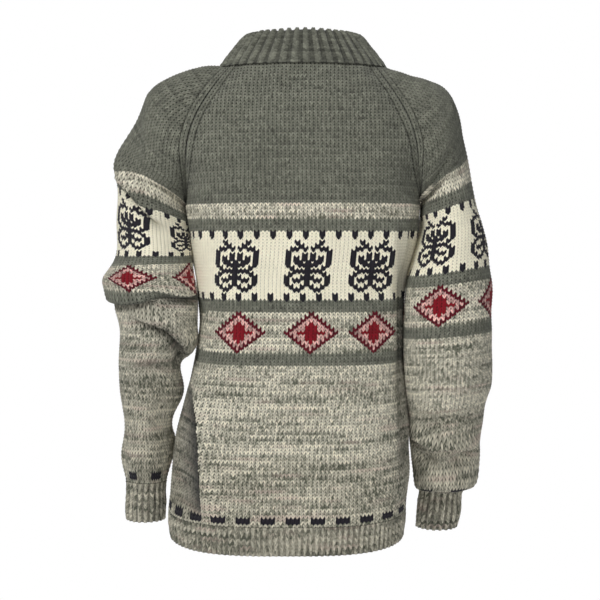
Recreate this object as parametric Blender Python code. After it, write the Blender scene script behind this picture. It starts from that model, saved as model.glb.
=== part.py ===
"""Nordic sweater: a chunky hand-knitted raglan pullover, kept in its hollow, worn form.

Nine knitted pieces: back, front, two sleeves, a funnel collar, two hem ribs and two cuffs.
Metres, +Z up. The wearer faces -Y and the wearer's left is +X. The origin is the middle of
the neckline. Heights follow the knitting: row 0 is the underarm, rows above it shape the
raglan yoke up to the neck, and rows below it run down to the hem and the cuffs.
Seen from outside, the columns of every piece run from left to right and its rows run upwards.
"""
import math

import bmesh
import bpy
import numpy as np

# ---- driving dimensions
ROW_HEIGHT = 0.0041          # height of one knitted row
WALL = 0.004                 # plain knit
RIB_WALL = 0.005             # hem and cuff rib
COLLAR_WALL = 0.008          # the collar is folded double
COLLAR_HEIGHT_BACK = 0.047
COLLAR_HEIGHT_FRONT = 0.055
SEAM_GAP = 0.0003            # between neighbouring pieces
SEAM_MARGIN = 0.00018        # how far each of two pieces keeps inside their seam
SAME_POINT = 0.00001         # points closer than this are one point

NECK_ROW = 47                # neck edge, counted up from the underarm
HEM_ROW = -102               # where the body meets the hem rib
HEM_END_ROW = -111
CUFF_ROW = -110              # where a sleeve meets its cuff
CUFF_END_ROW = -123

BODY_COLUMNS = 20
SLEEVE_COLUMNS = 16
YOKE_STEPS = 10
BODY_STEPS = 12
SLEEVE_STEPS = 22
RIB_STEPS = 2
COLLAR_COLUMNS = 52
ARC_POINTS = 81              # points that each row's curve is measured with
NORMAL_REACH_COLUMNS = 0.01  # a normal is taken from the points this far to either side,
NORMAL_REACH_ROWS = 0.5      # and this many rows above and below

# ---- neckline: an oval that dips at the front
NECK_CENTRE = (0.003, -0.008, 0.004)
NECK_HALF_WIDTH = 0.113
NECK_HALF_DEPTH = 0.078
NECK_FRONT_DIP = 0.049
BACK_RAGLAN_ANGLE = 30.0     # where the raglans meet the neckline, from the wearer's left
FRONT_RAGLAN_ANGLE = -44.0
COLLAR_TOP_CENTRE = (0.003, -0.010)
COLLAR_TOP_HALF_WIDTH = 0.081
COLLAR_TOP_HALF_DEPTH = 0.062

# ---- body below the underarm
FRONT_DROP = 0.007           # how much lower the middle of the front hangs than its sides
# row, side z, back z, centre x, half width, back y, front y
BODY_SECTIONS = [
    (0, -0.193, -0.193, 0.0025, 0.1625, 0.112, -0.118),
    (-13, -0.246, -0.247, 0.0020, 0.1540, 0.108, -0.116),
    (-25, -0.295, -0.297, 0.0058, 0.1448, 0.104, -0.112),
    (-34, -0.332, -0.334, 0.0050, 0.1420, 0.102, -0.110),
    (-43, -0.369, -0.372, 0.0060, 0.1420, 0.102, -0.109),
    (-54, -0.413, -0.417, 0.0096, 0.1460, 0.105, -0.110),
    (-65, -0.457, -0.462, 0.0145, 0.1525, 0.110, -0.112),
    (-79, -0.512, -0.520, 0.0208, 0.1603, 0.118, -0.114),
    (-91, -0.560, -0.570, 0.0223, 0.1638, 0.124, -0.116),
    (-102, -0.603, -0.615, 0.0245, 0.1635, 0.127, -0.117),
    (-111, -0.636, -0.653, 0.0250, 0.1610, 0.124, -0.114),
]

# ---- yoke: raglan seams of the wearer's left side, and the middle of back and front
# row, back seam x, y, z, front seam x, y, z
RAGLAN_LEFT = [
    (0, 0.1650, 0.000, -0.1930, 0.1650, 0.000, -0.1930),
    (5, 0.1645, 0.028, -0.1750, 0.1630, -0.028, -0.1770),
    (12, 0.1625, 0.060, -0.1480, 0.1580, -0.060, -0.1530),
    (24, 0.1560, 0.084, -0.0960, 0.1420, -0.086, -0.1060),
    (36, 0.1320, 0.070, -0.0420, 0.1140, -0.083, -0.0610),
]
RAGLAN_RIGHT = [
    (0, -0.1600, 0.000, -0.1930, -0.1600, 0.000, -0.1930),
    (5, -0.1585, 0.028, -0.1740, -0.1560, -0.028, -0.1770),
    (12, -0.1550, 0.060, -0.1460, -0.1480, -0.060, -0.1530),
    (24, -0.1465, 0.084, -0.0940, -0.1330, -0.086, -0.1060),
    (36, -0.1230, 0.070, -0.0420, -0.1060, -0.083, -0.0610),
]
# row, back y, back z, front y, front z, turn of the back and of the front arc's ends (degrees)
YOKE_MIDDLE = [
    (0, 0.112, -0.193, -0.118, -0.200, 0.0, 0.0),
    (5, 0.113, -0.172, -0.119, -0.182, 14.0, 13.0),
    (12, 0.113, -0.145, -0.120, -0.158, 30.0, 28.0),
    (24, 0.109, -0.095, -0.117, -0.118, 44.0, 44.0),
    (36, 0.096, -0.045, -0.106, -0.080, 42.0, 48.0),
]
BACK_SQUARENESS = 3.0        # exponents of the body's rounded sections; 2 is an ellipse
FRONT_SQUARENESS = 2.4
NECK_SQUARENESS = 2.0

# ---- sleeve caps: lines along the top, the back and the front of the sleeve
# row, crest x, y, z, back x, y, z, front x, y, z, fold at the seam (1 deep, 0 smooth)
CAP_LEFT = [
    (12, 0.233, 0.000, -0.068, 0.212, 0.070, -0.108, 0.207, -0.072, -0.112, 0.60),
    (24, 0.213, -0.002, -0.019, 0.201, 0.062, -0.052, 0.196, -0.066, -0.058, 0.18),
    (36, 0.165, -0.004, 0.000, 0.156, 0.045, -0.012, 0.152, -0.055, -0.026, 0.0),
]
CAP_RIGHT = [
    (12, -0.213, 0.000, -0.068, -0.196, 0.068, -0.108, -0.191, -0.072, -0.112, 0.60),
    (24, -0.192, -0.002, -0.024, -0.184, 0.060, -0.055, -0.179, -0.066, -0.060, 0.18),
    (36, -0.150, -0.004, -0.010, -0.145, 0.043, -0.019, -0.141, -0.055, -0.030, 0.0),
]
# ---- sleeve tubes down to the end of the cuff
# row, inner x, inner z, outer x, outer z, middle y, half depth
TUBE_LEFT = [
    (0, 0.1660, -0.194, 0.2620, -0.133, 0.000, 0.066),
    (-8, 0.1628, -0.214, 0.2610, -0.164, 0.010, 0.066),
    (-19, 0.1576, -0.238, 0.2600, -0.211, 0.024, 0.065),
    (-30, 0.1562, -0.259, 0.2610, -0.259, 0.036, 0.064),
    (-40, 0.1515, -0.286, 0.2740, -0.288, 0.044, 0.064),
    (-51, 0.1462, -0.320, 0.2680, -0.313, 0.047, 0.062),
    (-62, 0.1470, -0.359, 0.2530, -0.355, 0.041, 0.058),
    (-68, 0.1505, -0.383, 0.2550, -0.380, 0.033, 0.056),
    (-73, 0.1690, -0.403, 0.2580, -0.402, 0.024, 0.054),
    (-79, 0.1715, -0.427, 0.2580, -0.426, 0.014, 0.052),
    (-85, 0.1705, -0.453, 0.2578, -0.452, 0.002, 0.050),
    (-90, 0.1820, -0.476, 0.2565, -0.476, -0.008, 0.048),
    (-95, 0.1895, -0.501, 0.2557, -0.501, -0.018, 0.046),
    (-99, 0.1850, -0.521, 0.2580, -0.521, -0.027, 0.045),
    (-104, 0.1880, -0.547, 0.2611, -0.547, -0.038, 0.044),
    (-110, 0.1990, -0.583, 0.2563, -0.583, -0.050, 0.032),
    (-116, 0.2010, -0.610, 0.2571, -0.610, -0.058, 0.031),
    (-123, 0.2030, -0.641, 0.2578, -0.641, -0.066, 0.030),
]
TUBE_RIGHT = [
    (0, -0.1610, -0.190, -0.2280, -0.130, 0.000, 0.064),
    (-8, -0.1598, -0.206, -0.2370, -0.179, 0.010, 0.064),
    (-19, -0.1540, -0.243, -0.2466, -0.225, 0.024, 0.064),
    (-30, -0.1410, -0.287, -0.2523, -0.272, 0.036, 0.064),
    (-40, -0.1360, -0.328, -0.2563, -0.315, 0.043, 0.063),
    (-51, -0.1345, -0.372, -0.2555, -0.361, 0.045, 0.062),
    (-62, -0.1358, -0.409, -0.2553, -0.400, 0.040, 0.061),
    (-73, -0.1392, -0.446, -0.2557, -0.438, 0.028, 0.060),
    (-84, -0.1430, -0.485, -0.2499, -0.475, 0.010, 0.057),
    (-95, -0.1480, -0.527, -0.2461, -0.519, -0.012, 0.053),
    (-104, -0.1540, -0.570, -0.2463, -0.561, -0.034, 0.050),
    (-107, -0.1575, -0.590, -0.2430, -0.587, -0.042, 0.047),
    (-110, -0.1640, -0.594, -0.2303, -0.594, -0.052, 0.034),
    (-116, -0.1630, -0.621, -0.2248, -0.621, -0.060, 0.033),
    (-123, -0.1610, -0.652, -0.2190, -0.652, -0.067, 0.031),
]

# ---- largest folds: soft troughs (negative height) and ridges (positive height)
# piece, column and row at the start and at the end, half width, height
# columns count from 0 at the left edge to 1 at the right edge, seen from outside
FOLDS = [
    ("back", 0.88, -4, 0.88, -50, 0.015, -0.010),
    ("front", 0.10, -30, 0.12, -95, 0.016, -0.009),
    ("front", 0.91, -20, 0.88, -80, 0.016, -0.009),
    ("sleeve_left", 0.56, 4, 0.84, -15, 0.013, 0.008),
    ("sleeve_left", 0.55, -3, 0.80, -19, 0.012, -0.008),
    ("sleeve_left", 0.52, -50, 0.75, -49, 0.012, 0.005),
    ("sleeve_left", 0.50, -54, 0.76, -53.5, 0.012, -0.009),
    ("sleeve_left", 0.80, -51, 0.98, -50, 0.012, -0.008),
    ("sleeve_left", 0.67, -60, 0.80, -62, 0.012, -0.009),
    ("sleeve_left", 0.77, -61, 0.95, -73, 0.013, -0.014),
    ("sleeve_left", 0.10, -50, 0.36, -60, 0.014, -0.008),
    ("sleeve_right", 0.02, -92, 0.20, -96, 0.012, -0.009),
    ("sleeve_right", 0.18, -95, 0.40, -98, 0.012, -0.011),
    ("sleeve_right", 0.58, -60, 0.88, -70, 0.014, -0.008),
    ("sleeve_right", 0.58, -92, 0.84, -98, 0.013, -0.008),
]
FOLD_END_STRENGTH = 0.35     # share of a fold's height that is left at its two ends
BODY_SPREAD = 0.46           # cloth width of a body panel and of a sleeve, for the folds' sizes
SLEEVE_SPREAD = 0.36

# ---- the left flank, tucked in behind the back where the sleeve presses on it
# row, distance of the tuck's border from the middle, share of the flank's depth that is lost
TUCK = [
    (-101, 0.136, 0.00), (-97, 0.138, 0.55), (-89, 0.1405, 0.72), (-78, 0.1435, 0.74),
    (-69, 0.147, 0.70), (-64, 0.151, 0.55), (-58, 0.156, 0.25), (-52, 0.165, 0.00),
]
TUCK_WALL = 0.032            # width of the slope inside the border

# ---- yarn colours: r, g, b, roughness
SAGE = (0.13, 0.13, 0.10, 0.9)
MARL = (0.36, 0.34, 0.27, 0.9)


def spline(knots, points, at, start=None, end=None):
    """Smooth curve through points at knots, read at `at`; a given start or end slope clamps it."""
    knots = np.asarray(knots, float)
    points = np.asarray(points, float)
    step = np.diff(knots)
    slope = np.diff(points, axis=0) / step.reshape((-1,) + (1,) * (points.ndim - 1))
    count = len(knots)
    system = np.eye(count)
    bend = np.zeros_like(points)
    for i in range(1, count - 1):
        system[i, i - 1:i + 2] = step[i - 1], 2 * (step[i - 1] + step[i]), step[i]
        bend[i] = 6 * (slope[i] - slope[i - 1])
    if start is not None:
        system[0, :2] = 2 * step[0], step[0]
        bend[0] = 6 * (slope[0] - start)
    if end is not None:
        system[-1, -2:] = step[-1], 2 * step[-1]
        bend[-1] = 6 * (end - slope[-1])
    curvature = np.tensordot(np.linalg.inv(system), bend, axes=1)
    at = np.asarray(at, float)
    span = np.clip(np.searchsorted(knots, at) - 1, 0, count - 2)
    shape = at.shape + (1,) * (points.ndim - 1)
    width = step[span].reshape(shape)
    far = ((at - knots[span]).reshape(shape)) / width
    near = 1 - far
    line = near * points[span] + far * points[span + 1]
    curve = (near ** 3 - near) * curvature[span] + (far ** 3 - far) * curvature[span + 1]
    return line + curve * width ** 2 / 6


def table_spline(table, rows):
    """Columns of a section table at the given rows; the table's first column is the row."""
    ordered = np.array(sorted(table), float)
    return spline(ordered[:, 0], ordered[:, 1:], rows)


def neck_point(degrees):
    """Point on the neckline, turning from the wearer's left (0) over the back (90)."""
    angle = math.radians(degrees)
    dip = NECK_FRONT_DIP * max(0.0, -math.sin(angle)) ** 1.5
    return (
        NECK_CENTRE[0] + NECK_HALF_WIDTH * math.cos(angle),
        NECK_CENTRE[1] + NECK_HALF_DEPTH * math.sin(angle),
        NECK_CENTRE[2] - dip,
    )


def raglan(side, rows):
    """Back and front raglan seam points of one side for rows from 0 to the neck."""
    left = side == "left"
    table = list(RAGLAN_LEFT if left else RAGLAN_RIGHT)
    back = BACK_RAGLAN_ANGLE if left else 180 - BACK_RAGLAN_ANGLE
    front = FRONT_RAGLAN_ANGLE if left else 180 - FRONT_RAGLAN_ANGLE
    table.append((NECK_ROW, *neck_point(back), *neck_point(front)))
    seams = table_spline(table, rows)
    return seams[:, :3], seams[:, 3:]


def body_arc_ends(face, rows):
    """Left end, right end and middle of each row's arc, with its turn and its squareness."""
    back = face == "back"
    count = len(rows)
    left, right, middle = np.zeros((count, 3)), np.zeros((count, 3)), np.zeros((count, 3))
    low_square = BACK_SQUARENESS if back else FRONT_SQUARENESS
    turn, square = np.zeros(count), np.full(count, low_square)
    low = rows <= 0
    section = table_spline(BODY_SECTIONS, rows[low])
    side_z, back_z, centre_x, half_width, back_y, front_y = section.T
    zero = np.zeros_like(side_z)
    left[low] = np.stack([centre_x + half_width, zero, side_z], 1)
    right[low] = np.stack([centre_x - half_width, zero, side_z], 1)
    if back:
        middle[low] = np.stack([centre_x, back_y, back_z], 1)
    else:
        middle[low] = np.stack([centre_x, front_y, side_z - FRONT_DROP], 1)
    yoke = ~low
    left_seams = raglan("left", rows[yoke])
    right_seams = raglan("right", rows[yoke])
    left[yoke] = left_seams[0 if back else 1]
    right[yoke] = right_seams[0 if back else 1]
    neck_back, neck_front = neck_point(90), neck_point(-90)
    table = YOKE_MIDDLE + [(NECK_ROW, neck_back[1], neck_back[2], neck_front[1], neck_front[2],
                            BACK_RAGLAN_ANGLE, -FRONT_RAGLAN_ANGLE)]
    columns = table_spline(table, rows[yoke])
    pick = (0, 1, 4) if back else (2, 3, 5)
    centre = np.full(columns.shape[0], NECK_CENTRE[0])
    middle[yoke] = np.stack([centre, columns[:, pick[0]], columns[:, pick[1]]], 1)
    turn[yoke] = np.radians(columns[:, pick[2]])
    share = np.clip(rows[yoke] / NECK_ROW, 0, 1) ** 2
    square[yoke] = low_square + (NECK_SQUARENESS - low_square) * share
    return left, right, middle, turn, square


def body_grid(face, rows, columns):
    """Points of the back or the front: one arc per row, from its left edge to its right edge."""
    left, right, middle, turn, square = body_arc_ends(face, rows)
    fine = np.linspace(0, 1, ARC_POINTS)
    angle = turn[:, None] + (math.pi - 2 * turn[:, None]) * fine
    power = 2 / square[:, None]
    first = np.cos(turn)[:, None] ** power
    base = np.sin(turn)[:, None] ** power
    aside = np.sign(np.cos(angle)) * np.abs(np.cos(angle)) ** power / first
    out = (np.abs(np.sin(angle)) ** power - base) / (1 - base)
    chord_middle = (left + right)[:, None] / 2
    half_chord = (left - right)[:, None] / 2
    if face == "front":
        aside = -aside
    points = chord_middle + aside[..., None] * half_chord
    points = points + out[..., None] * (middle[:, None] - chord_middle)
    return even_columns(points, columns, np.full(len(rows), SEAM_MARGIN))


def even_columns(points, columns, margin):
    """The same arcs read at columns evenly spaced along the cloth, a margin inside both ends."""
    lengths = np.linalg.norm(np.diff(points, axis=1), axis=2)
    along = np.concatenate([np.zeros((len(points), 1)), np.cumsum(lengths, 1)], 1)
    result = np.zeros((len(points), len(columns), 3))
    for i, run in enumerate(along):
        places = margin[i] + columns * (run[-1] - 2 * margin[i])
        for axis in range(3):
            result[i, :, axis] = np.interp(places, run, points[i, :, axis])
    return result


def sleeve_lines(side, rows):
    """Five lines along the sleeve (seam, back, crest, front, seam) and the end slopes of its rows."""
    left = side == "left"
    cap = CAP_LEFT if left else CAP_RIGHT
    tube = np.array(TUBE_LEFT if left else TUBE_RIGHT)
    row, inner_x, inner_z, outer_x, outer_z, middle_y, half_depth = tube.T
    middle_x, middle_z = (inner_x + outer_x) / 2, (inner_z + outer_z) / 2
    zero = np.zeros_like(row)
    tube_lines = np.stack([
        row, outer_x, middle_y, outer_z,
        middle_x, middle_y + half_depth, middle_z,
        middle_x, middle_y - half_depth, middle_z, zero + 1,
    ], 1)
    neck = [neck_point(a if left else 180 - a) for a in (0, 15, -22)]
    neck_row = (NECK_ROW, *neck[0], *neck[1], *neck[2], 0)
    lines = table_spline([tuple(r) for r in tube_lines] + list(cap) + [neck_row], rows)
    crest, back, front, fold = lines[:, :3], lines[:, 3:6], lines[:, 6:9], lines[:, 9:]
    fold = np.clip(fold, 0, 1)
    seam_table = [(r, x, y, z) for r, x, y, z in zip(row, inner_x, middle_y, inner_z)]
    seam = table_spline(seam_table, np.minimum(rows, 0))
    back_seam, front_seam = seam.copy(), seam.copy()
    yoke = rows > 0
    back_seam[yoke], front_seam[yoke] = raglan(side, rows[yoke])
    fold[~yoke] = 1
    round_slope = np.zeros_like(seam)
    round_slope[:, 1] = math.pi * (back - front)[:, 1]
    back_slope = 4 * (back - back_seam) * (1 - fold) + round_slope * fold
    front_slope = 4 * (front_seam - front) * (1 - fold) + round_slope * fold
    if left:
        return (front_seam, front, crest, back, back_seam), -front_slope, -back_slope
    return (back_seam, back, crest, front, front_seam), back_slope, front_slope


def sleeve_grid(side, rows, columns):
    """Points of a sleeve: each row is a smooth curve round the arm from seam to seam."""
    lines, start, end = sleeve_lines(side, rows)
    fine = np.linspace(0, 1, ARC_POINTS)
    knots = np.linspace(0, 1, 5)
    points = spline(knots, np.stack(lines), fine, start, end)
    margin = np.where(rows > 0, SEAM_MARGIN, 0)
    return even_columns(points.transpose(1, 0, 2), columns, margin)


def cloth_normals(make, rows, columns, closed):
    """Unit normals, out of the cloth, of the surface that `make` gives; closed rows run round."""
    def read(moved):
        inside = make(rows, np.clip(moved, 0, 1))
        inside[closed] = make(rows[closed], moved % 1)
        return inside
    across = read(columns + NORMAL_REACH_COLUMNS) - read(columns - NORMAL_REACH_COLUMNS)
    along = make(rows + NORMAL_REACH_ROWS, columns) - make(rows - NORMAL_REACH_ROWS, columns)
    normal = np.cross(across, along)
    return normal / np.linalg.norm(normal, axis=2, keepdims=True)


def fold_heights(piece, rows, columns, spread):
    """Height of the folds of one piece over a grid of rows and columns."""
    height = np.zeros((len(rows), len(columns)))
    place = np.stack(np.meshgrid(columns * spread, rows * ROW_HEIGHT), 2)
    for name, column_a, row_a, column_b, row_b, half_width, depth in FOLDS:
        if name != piece:
            continue
        start = np.array([column_a * spread, row_a * ROW_HEIGHT])
        run = np.array([column_b * spread, row_b * ROW_HEIGHT]) - start
        share = ((place - start) @ run) / (run @ run)
        nearest = start + np.clip(share, 0, 1)[..., None] * run
        away = np.linalg.norm(place - nearest, axis=2)
        middle = np.clip(1 - np.abs(2 * share - 1), 0, 1)
        strength = FOLD_END_STRENGTH + (1 - FOLD_END_STRENGTH) * np.sqrt(middle)
        height += depth * strength * np.exp(-(away / half_width) ** 2)
    return height


def tucked(rows, points):
    """The back's points with its left flank drawn in towards the side seam."""
    row, border, share = np.array(TUCK).T
    beyond = (points[..., 0] - np.interp(rows, row, border)[:, None]) / TUCK_WALL
    step = np.clip(beyond, 0, 1) * np.interp(rows, row, share)[:, None]
    result = points.copy()
    result[..., 1] = points[..., 1] * (1 - step)
    return result


def knit_wall(name, outer, inward, thickness, colour):
    """Closed wall between a grid of points and the same grid moved inwards by the thickness."""
    row_count, column_count = outer.shape[:2]
    mesh = bpy.data.meshes.new(name)
    shape = bmesh.new()
    bmesh.ops.create_grid(shape, x_segments=column_count - 1, y_segments=row_count - 1, size=1)
    place = shape.verts.layers.int.new("place")
    for i, vert in enumerate(shape.verts):
        vert[place] = i
        vert.co = outer.reshape(-1, 3)[i]
    bmesh.ops.remove_doubles(shape, verts=shape.verts[:], dist=SAME_POINT)
    inner = (outer + inward * thickness).reshape(-1, 3)
    moved = bmesh.ops.extrude_face_region(shape, geom=shape.faces[:], use_keep_orig=True)
    for item in moved["geom"]:
        if isinstance(item, bmesh.types.BMVert):
            item.co = inner[item[place]]
    # the shorter diagonal is the same on both sides of a seam, so facing rims stay parallel
    bmesh.ops.triangulate(shape, faces=shape.faces[:], quad_method="SHORT_EDGE")
    bmesh.ops.recalc_face_normals(shape, faces=shape.faces[:])
    shape.to_mesh(mesh)
    shape.free()
    mesh.shade_smooth()
    return add_piece(name, mesh, colour)


def add_piece(name, mesh, colour):
    """Object of one knitted piece with its own material."""
    material = bpy.data.materials.new(name)
    material.use_nodes = True
    shader = material.node_tree.nodes["Principled BSDF"]
    shader.inputs["Base Color"].default_value = (*colour[:3], 1)
    shader.inputs["Roughness"].default_value = colour[3]
    shader.inputs["Metallic"].default_value = 0
    mesh.materials.append(material)
    piece = bpy.data.objects.new(name, mesh)
    bpy.context.scene.collection.objects.link(piece)
    return piece


def meet(first, second):
    """Wall directions of two pieces along a seam: halfway between them, but not in a deep crease."""
    share = np.clip(3 * (first * second).sum(1, keepdims=True), 0, 1)
    a = first + share * second
    b = second + share * first
    return (a / np.linalg.norm(a, axis=1, keepdims=True),
            b / np.linalg.norm(b, axis=1, keepdims=True))


def seam_rows(low, high, steps):
    """Rows of a piece, kept half a seam gap inside both of its ends."""
    rows = np.linspace(low, high, steps + 1)
    edge = SEAM_MARGIN / ROW_HEIGHT
    rows[0] += edge
    rows[-1] -= edge
    return rows


def body_surface(face, rows):
    """Points and normals of the back or the front at the given rows."""
    columns = np.linspace(0, 1, BODY_COLUMNS + 1)

    def make(some_rows, some_columns):
        return body_grid(face, some_rows, some_columns)

    return make(rows, columns), cloth_normals(make, rows, columns, rows > np.inf)


def sleeve_surface(side, rows):
    """Points and normals of a sleeve or its cuff; rows up to the underarm run all round."""
    closed = rows <= 0
    around = np.linspace(0, 1, SLEEVE_COLUMNS + 1)

    def make(some_rows, some_columns):
        return sleeve_grid(side, some_rows, some_columns)

    return make(rows, around), cloth_normals(make, rows, around, closed)


def meet_side_seams(back_normal, front_normal, rows):
    """Turn the two panels' walls towards each other along both side seams."""
    for back_column, front_column in ((0, -1), (-1, 0)):
        back_normal[rows, back_column], front_normal[rows, front_column] = meet(
            back_normal[rows, back_column], front_normal[rows, front_column])


def folded_wall(name, rows, points, normal, spread, thickness, colour):
    """One piece with its folds, which fade out at its seams."""
    columns = np.linspace(0, 1, points.shape[1])
    height = fold_heights(name, rows, columns, spread)
    height[:, 0] = height[:, -1] = 0
    outer = points + normal * height[..., None]
    if name == "back":
        outer = tucked(rows, outer)
    knit_wall(name, outer, -normal, thickness, colour)


def build_body_and_sleeves():
    """Back, front and both sleeves, whose walls meet along the side seams and the raglans."""
    edge = SEAM_MARGIN / ROW_HEIGHT
    yoke = np.linspace(0, NECK_ROW, YOKE_STEPS + 1)[1:]
    yoke[-1] -= edge
    body_rows = np.concatenate([seam_rows(HEM_ROW, 0, BODY_STEPS)[:-1], [0.0], yoke])
    sleeve_rows = np.concatenate([seam_rows(CUFF_ROW, 0, SLEEVE_STEPS)[:-1], [0.0], yoke])
    back, back_normal = body_surface("back", body_rows)
    front, front_normal = body_surface("front", body_rows)
    meet_side_seams(back_normal, front_normal, body_rows <= 0)
    sleeves = {side: sleeve_surface(side, sleeve_rows) for side in ("left", "right")}
    body_yoke, sleeve_yoke = body_rows > 0, sleeve_rows > 0
    for panel, column, side, sleeve_column in (
        (back_normal, 0, "left", -1), (back_normal, -1, "right", 0),
        (front_normal, -1, "left", 0), (front_normal, 0, "right", -1),
    ):
        normal = sleeves[side][1]
        panel[body_yoke, column], normal[sleeve_yoke, sleeve_column] = meet(
            panel[body_yoke, column], normal[sleeve_yoke, sleeve_column])
    folded_wall("back", body_rows, back, back_normal, BODY_SPREAD, WALL, SAGE)
    folded_wall("front", body_rows, front, front_normal, BODY_SPREAD, WALL, SAGE)
    for side, (points, normal) in sleeves.items():
        folded_wall("sleeve_" + side, sleeve_rows, points, normal, SLEEVE_SPREAD, WALL, SAGE)


def build_hem():
    """Hem ribs under the back and the front."""
    rows = seam_rows(HEM_END_ROW, HEM_ROW, RIB_STEPS)
    back, back_normal = body_surface("back", rows)
    front, front_normal = body_surface("front", rows)
    meet_side_seams(back_normal, front_normal, rows <= 0)
    knit_wall("hem_back", back, -back_normal, RIB_WALL, MARL)
    knit_wall("hem_front", front, -front_normal, RIB_WALL, MARL)


def build_cuffs():
    """Cuff ribs, closed tubes that hang from the sleeves' ends."""
    rows = seam_rows(CUFF_END_ROW, CUFF_ROW, RIB_STEPS)
    for side in ("left", "right"):
        points, normal = sleeve_surface(side, rows)
        knit_wall("cuff_" + side, points, -normal, RIB_WALL, MARL)


def build_collar():
    """Funnel collar: the neckline lifted to a smaller oval, folded double with a round top."""
    # share of the height, distance inwards from the outer surface
    profile = [(0, 0), (0.35, -0.002), (0.7, -0.0015), (0.93, 0.0005), (1, 0.004),
               (0.93, 0.0075), (0.5, COLLAR_WALL), (0, COLLAR_WALL)]
    turns = np.linspace(0, 360, COLLAR_COLUMNS + 1)
    base = np.array([neck_point(t) for t in turns])
    angle = np.radians(turns)
    rise = (COLLAR_HEIGHT_BACK + COLLAR_HEIGHT_FRONT) / 2
    rise = rise + (COLLAR_HEIGHT_BACK - COLLAR_HEIGHT_FRONT) / 2 * np.sin(angle)
    top = np.stack([
        COLLAR_TOP_CENTRE[0] + COLLAR_TOP_HALF_WIDTH * np.cos(angle),
        COLLAR_TOP_CENTRE[1] + COLLAR_TOP_HALF_DEPTH * np.sin(angle),
        base[:, 2] + rise,
    ], 1)
    outwards = np.stack([np.cos(angle), np.sin(angle), np.zeros_like(angle)], 1)
    lift = np.array([0, 0, SEAM_GAP / 2])
    rings = [base + lift + (top - base) * share - outwards * inset for share, inset in profile]
    rings.append(rings[0])
    grid = np.stack(rings)
    mesh = bpy.data.meshes.new("collar")
    shape = bmesh.new()
    bmesh.ops.create_grid(shape, x_segments=COLLAR_COLUMNS, y_segments=len(rings) - 1, size=1)
    for vert, point in zip(shape.verts, grid.reshape(-1, 3)):
        vert.co = point
    bmesh.ops.remove_doubles(shape, verts=shape.verts[:], dist=SAME_POINT)
    bmesh.ops.recalc_face_normals(shape, faces=shape.faces[:])
    shape.to_mesh(mesh)
    shape.free()
    mesh.shade_smooth()
    add_piece("collar", mesh, SAGE)


for old in list(bpy.data.objects):
    bpy.data.objects.remove(old)
build_body_and_sleeves()
build_hem()
build_cuffs()
build_collar()
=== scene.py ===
# %% [markdown]
# # A hand-knitted Nordic sweater
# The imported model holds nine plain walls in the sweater's worn form: back, front, two sleeves, a
# collar, two hem ribs and two cuffs. Real knitting is a cloth of small interlocked loops, and
# each loop shows as a letter V. One way to show that is a bump texture on a smooth wall, but it
# goes flat at the outline and in low light. This lesson knits instead: each piece becomes a grid
# with eight small faces for every stitch, laid on the same form that the wall has.

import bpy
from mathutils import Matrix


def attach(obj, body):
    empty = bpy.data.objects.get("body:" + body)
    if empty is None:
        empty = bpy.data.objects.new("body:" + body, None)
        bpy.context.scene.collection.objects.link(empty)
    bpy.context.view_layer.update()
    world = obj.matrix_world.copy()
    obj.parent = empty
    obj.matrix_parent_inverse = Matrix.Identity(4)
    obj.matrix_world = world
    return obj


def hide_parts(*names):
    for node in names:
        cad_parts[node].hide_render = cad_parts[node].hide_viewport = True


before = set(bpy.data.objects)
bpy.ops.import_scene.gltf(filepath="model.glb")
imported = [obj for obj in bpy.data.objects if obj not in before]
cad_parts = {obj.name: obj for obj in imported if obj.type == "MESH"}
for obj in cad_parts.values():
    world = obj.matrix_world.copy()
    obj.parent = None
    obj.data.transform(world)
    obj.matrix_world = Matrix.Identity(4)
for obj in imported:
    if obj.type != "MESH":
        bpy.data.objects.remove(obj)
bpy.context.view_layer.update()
print("walls to dress:", ", ".join(sorted(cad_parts)))

# %%
import math

import bmesh
import bpy
import numpy as np

# %% [markdown]
# ## The form, counted in rows and stitches
# A knitter measures cloth in rows and stitches, so the form is written that way too. Row 0 is the
# underarm, rows above it shape the raglan yoke and rows below it run down to the ribs. The tables
# hold the sections of the worn sweater, and smooth curves join them. They are the sizes of the
# packed walls, so the knitting lies on them, apart from its relief and its deeper folds.

# %% Gauge, walls and neckline
STITCH_WIDTH = 0.00548
ROW_HEIGHT = 0.0041
WALL = 0.004
RIB_WALL = 0.005
SEAM_MARGIN = 0.00018        # how far each of two pieces keeps inside their seam
NECK_ROW = 47
HEM_ROW, HEM_END_ROW = -102, -111
CUFF_ROW, CUFF_END_ROW = -110, -123

NECK_CENTRE = (0.003, -0.008, 0.004)
NECK_HALF_WIDTH = 0.113
NECK_HALF_DEPTH = 0.078
NECK_FRONT_DIP = 0.049
NECK_DIP_POWER = 1.5         # how much of the dip is kept to the middle of the front
BACK_RAGLAN_ANGLE = 30.0     # degrees round the neckline from the wearer's left
FRONT_RAGLAN_ANGLE = -44.0
BACK_SQUARENESS, FRONT_SQUARENESS = 3.0, 2.4
NECK_SQUARENESS = 2.0
FRONT_DROP = 0.007           # how much lower the front hangs than the side seams
print(f"gauge: {0.1 / STITCH_WIDTH:.0f} stitches and {0.1 / ROW_HEIGHT:.0f} rows to 10 cm")

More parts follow.
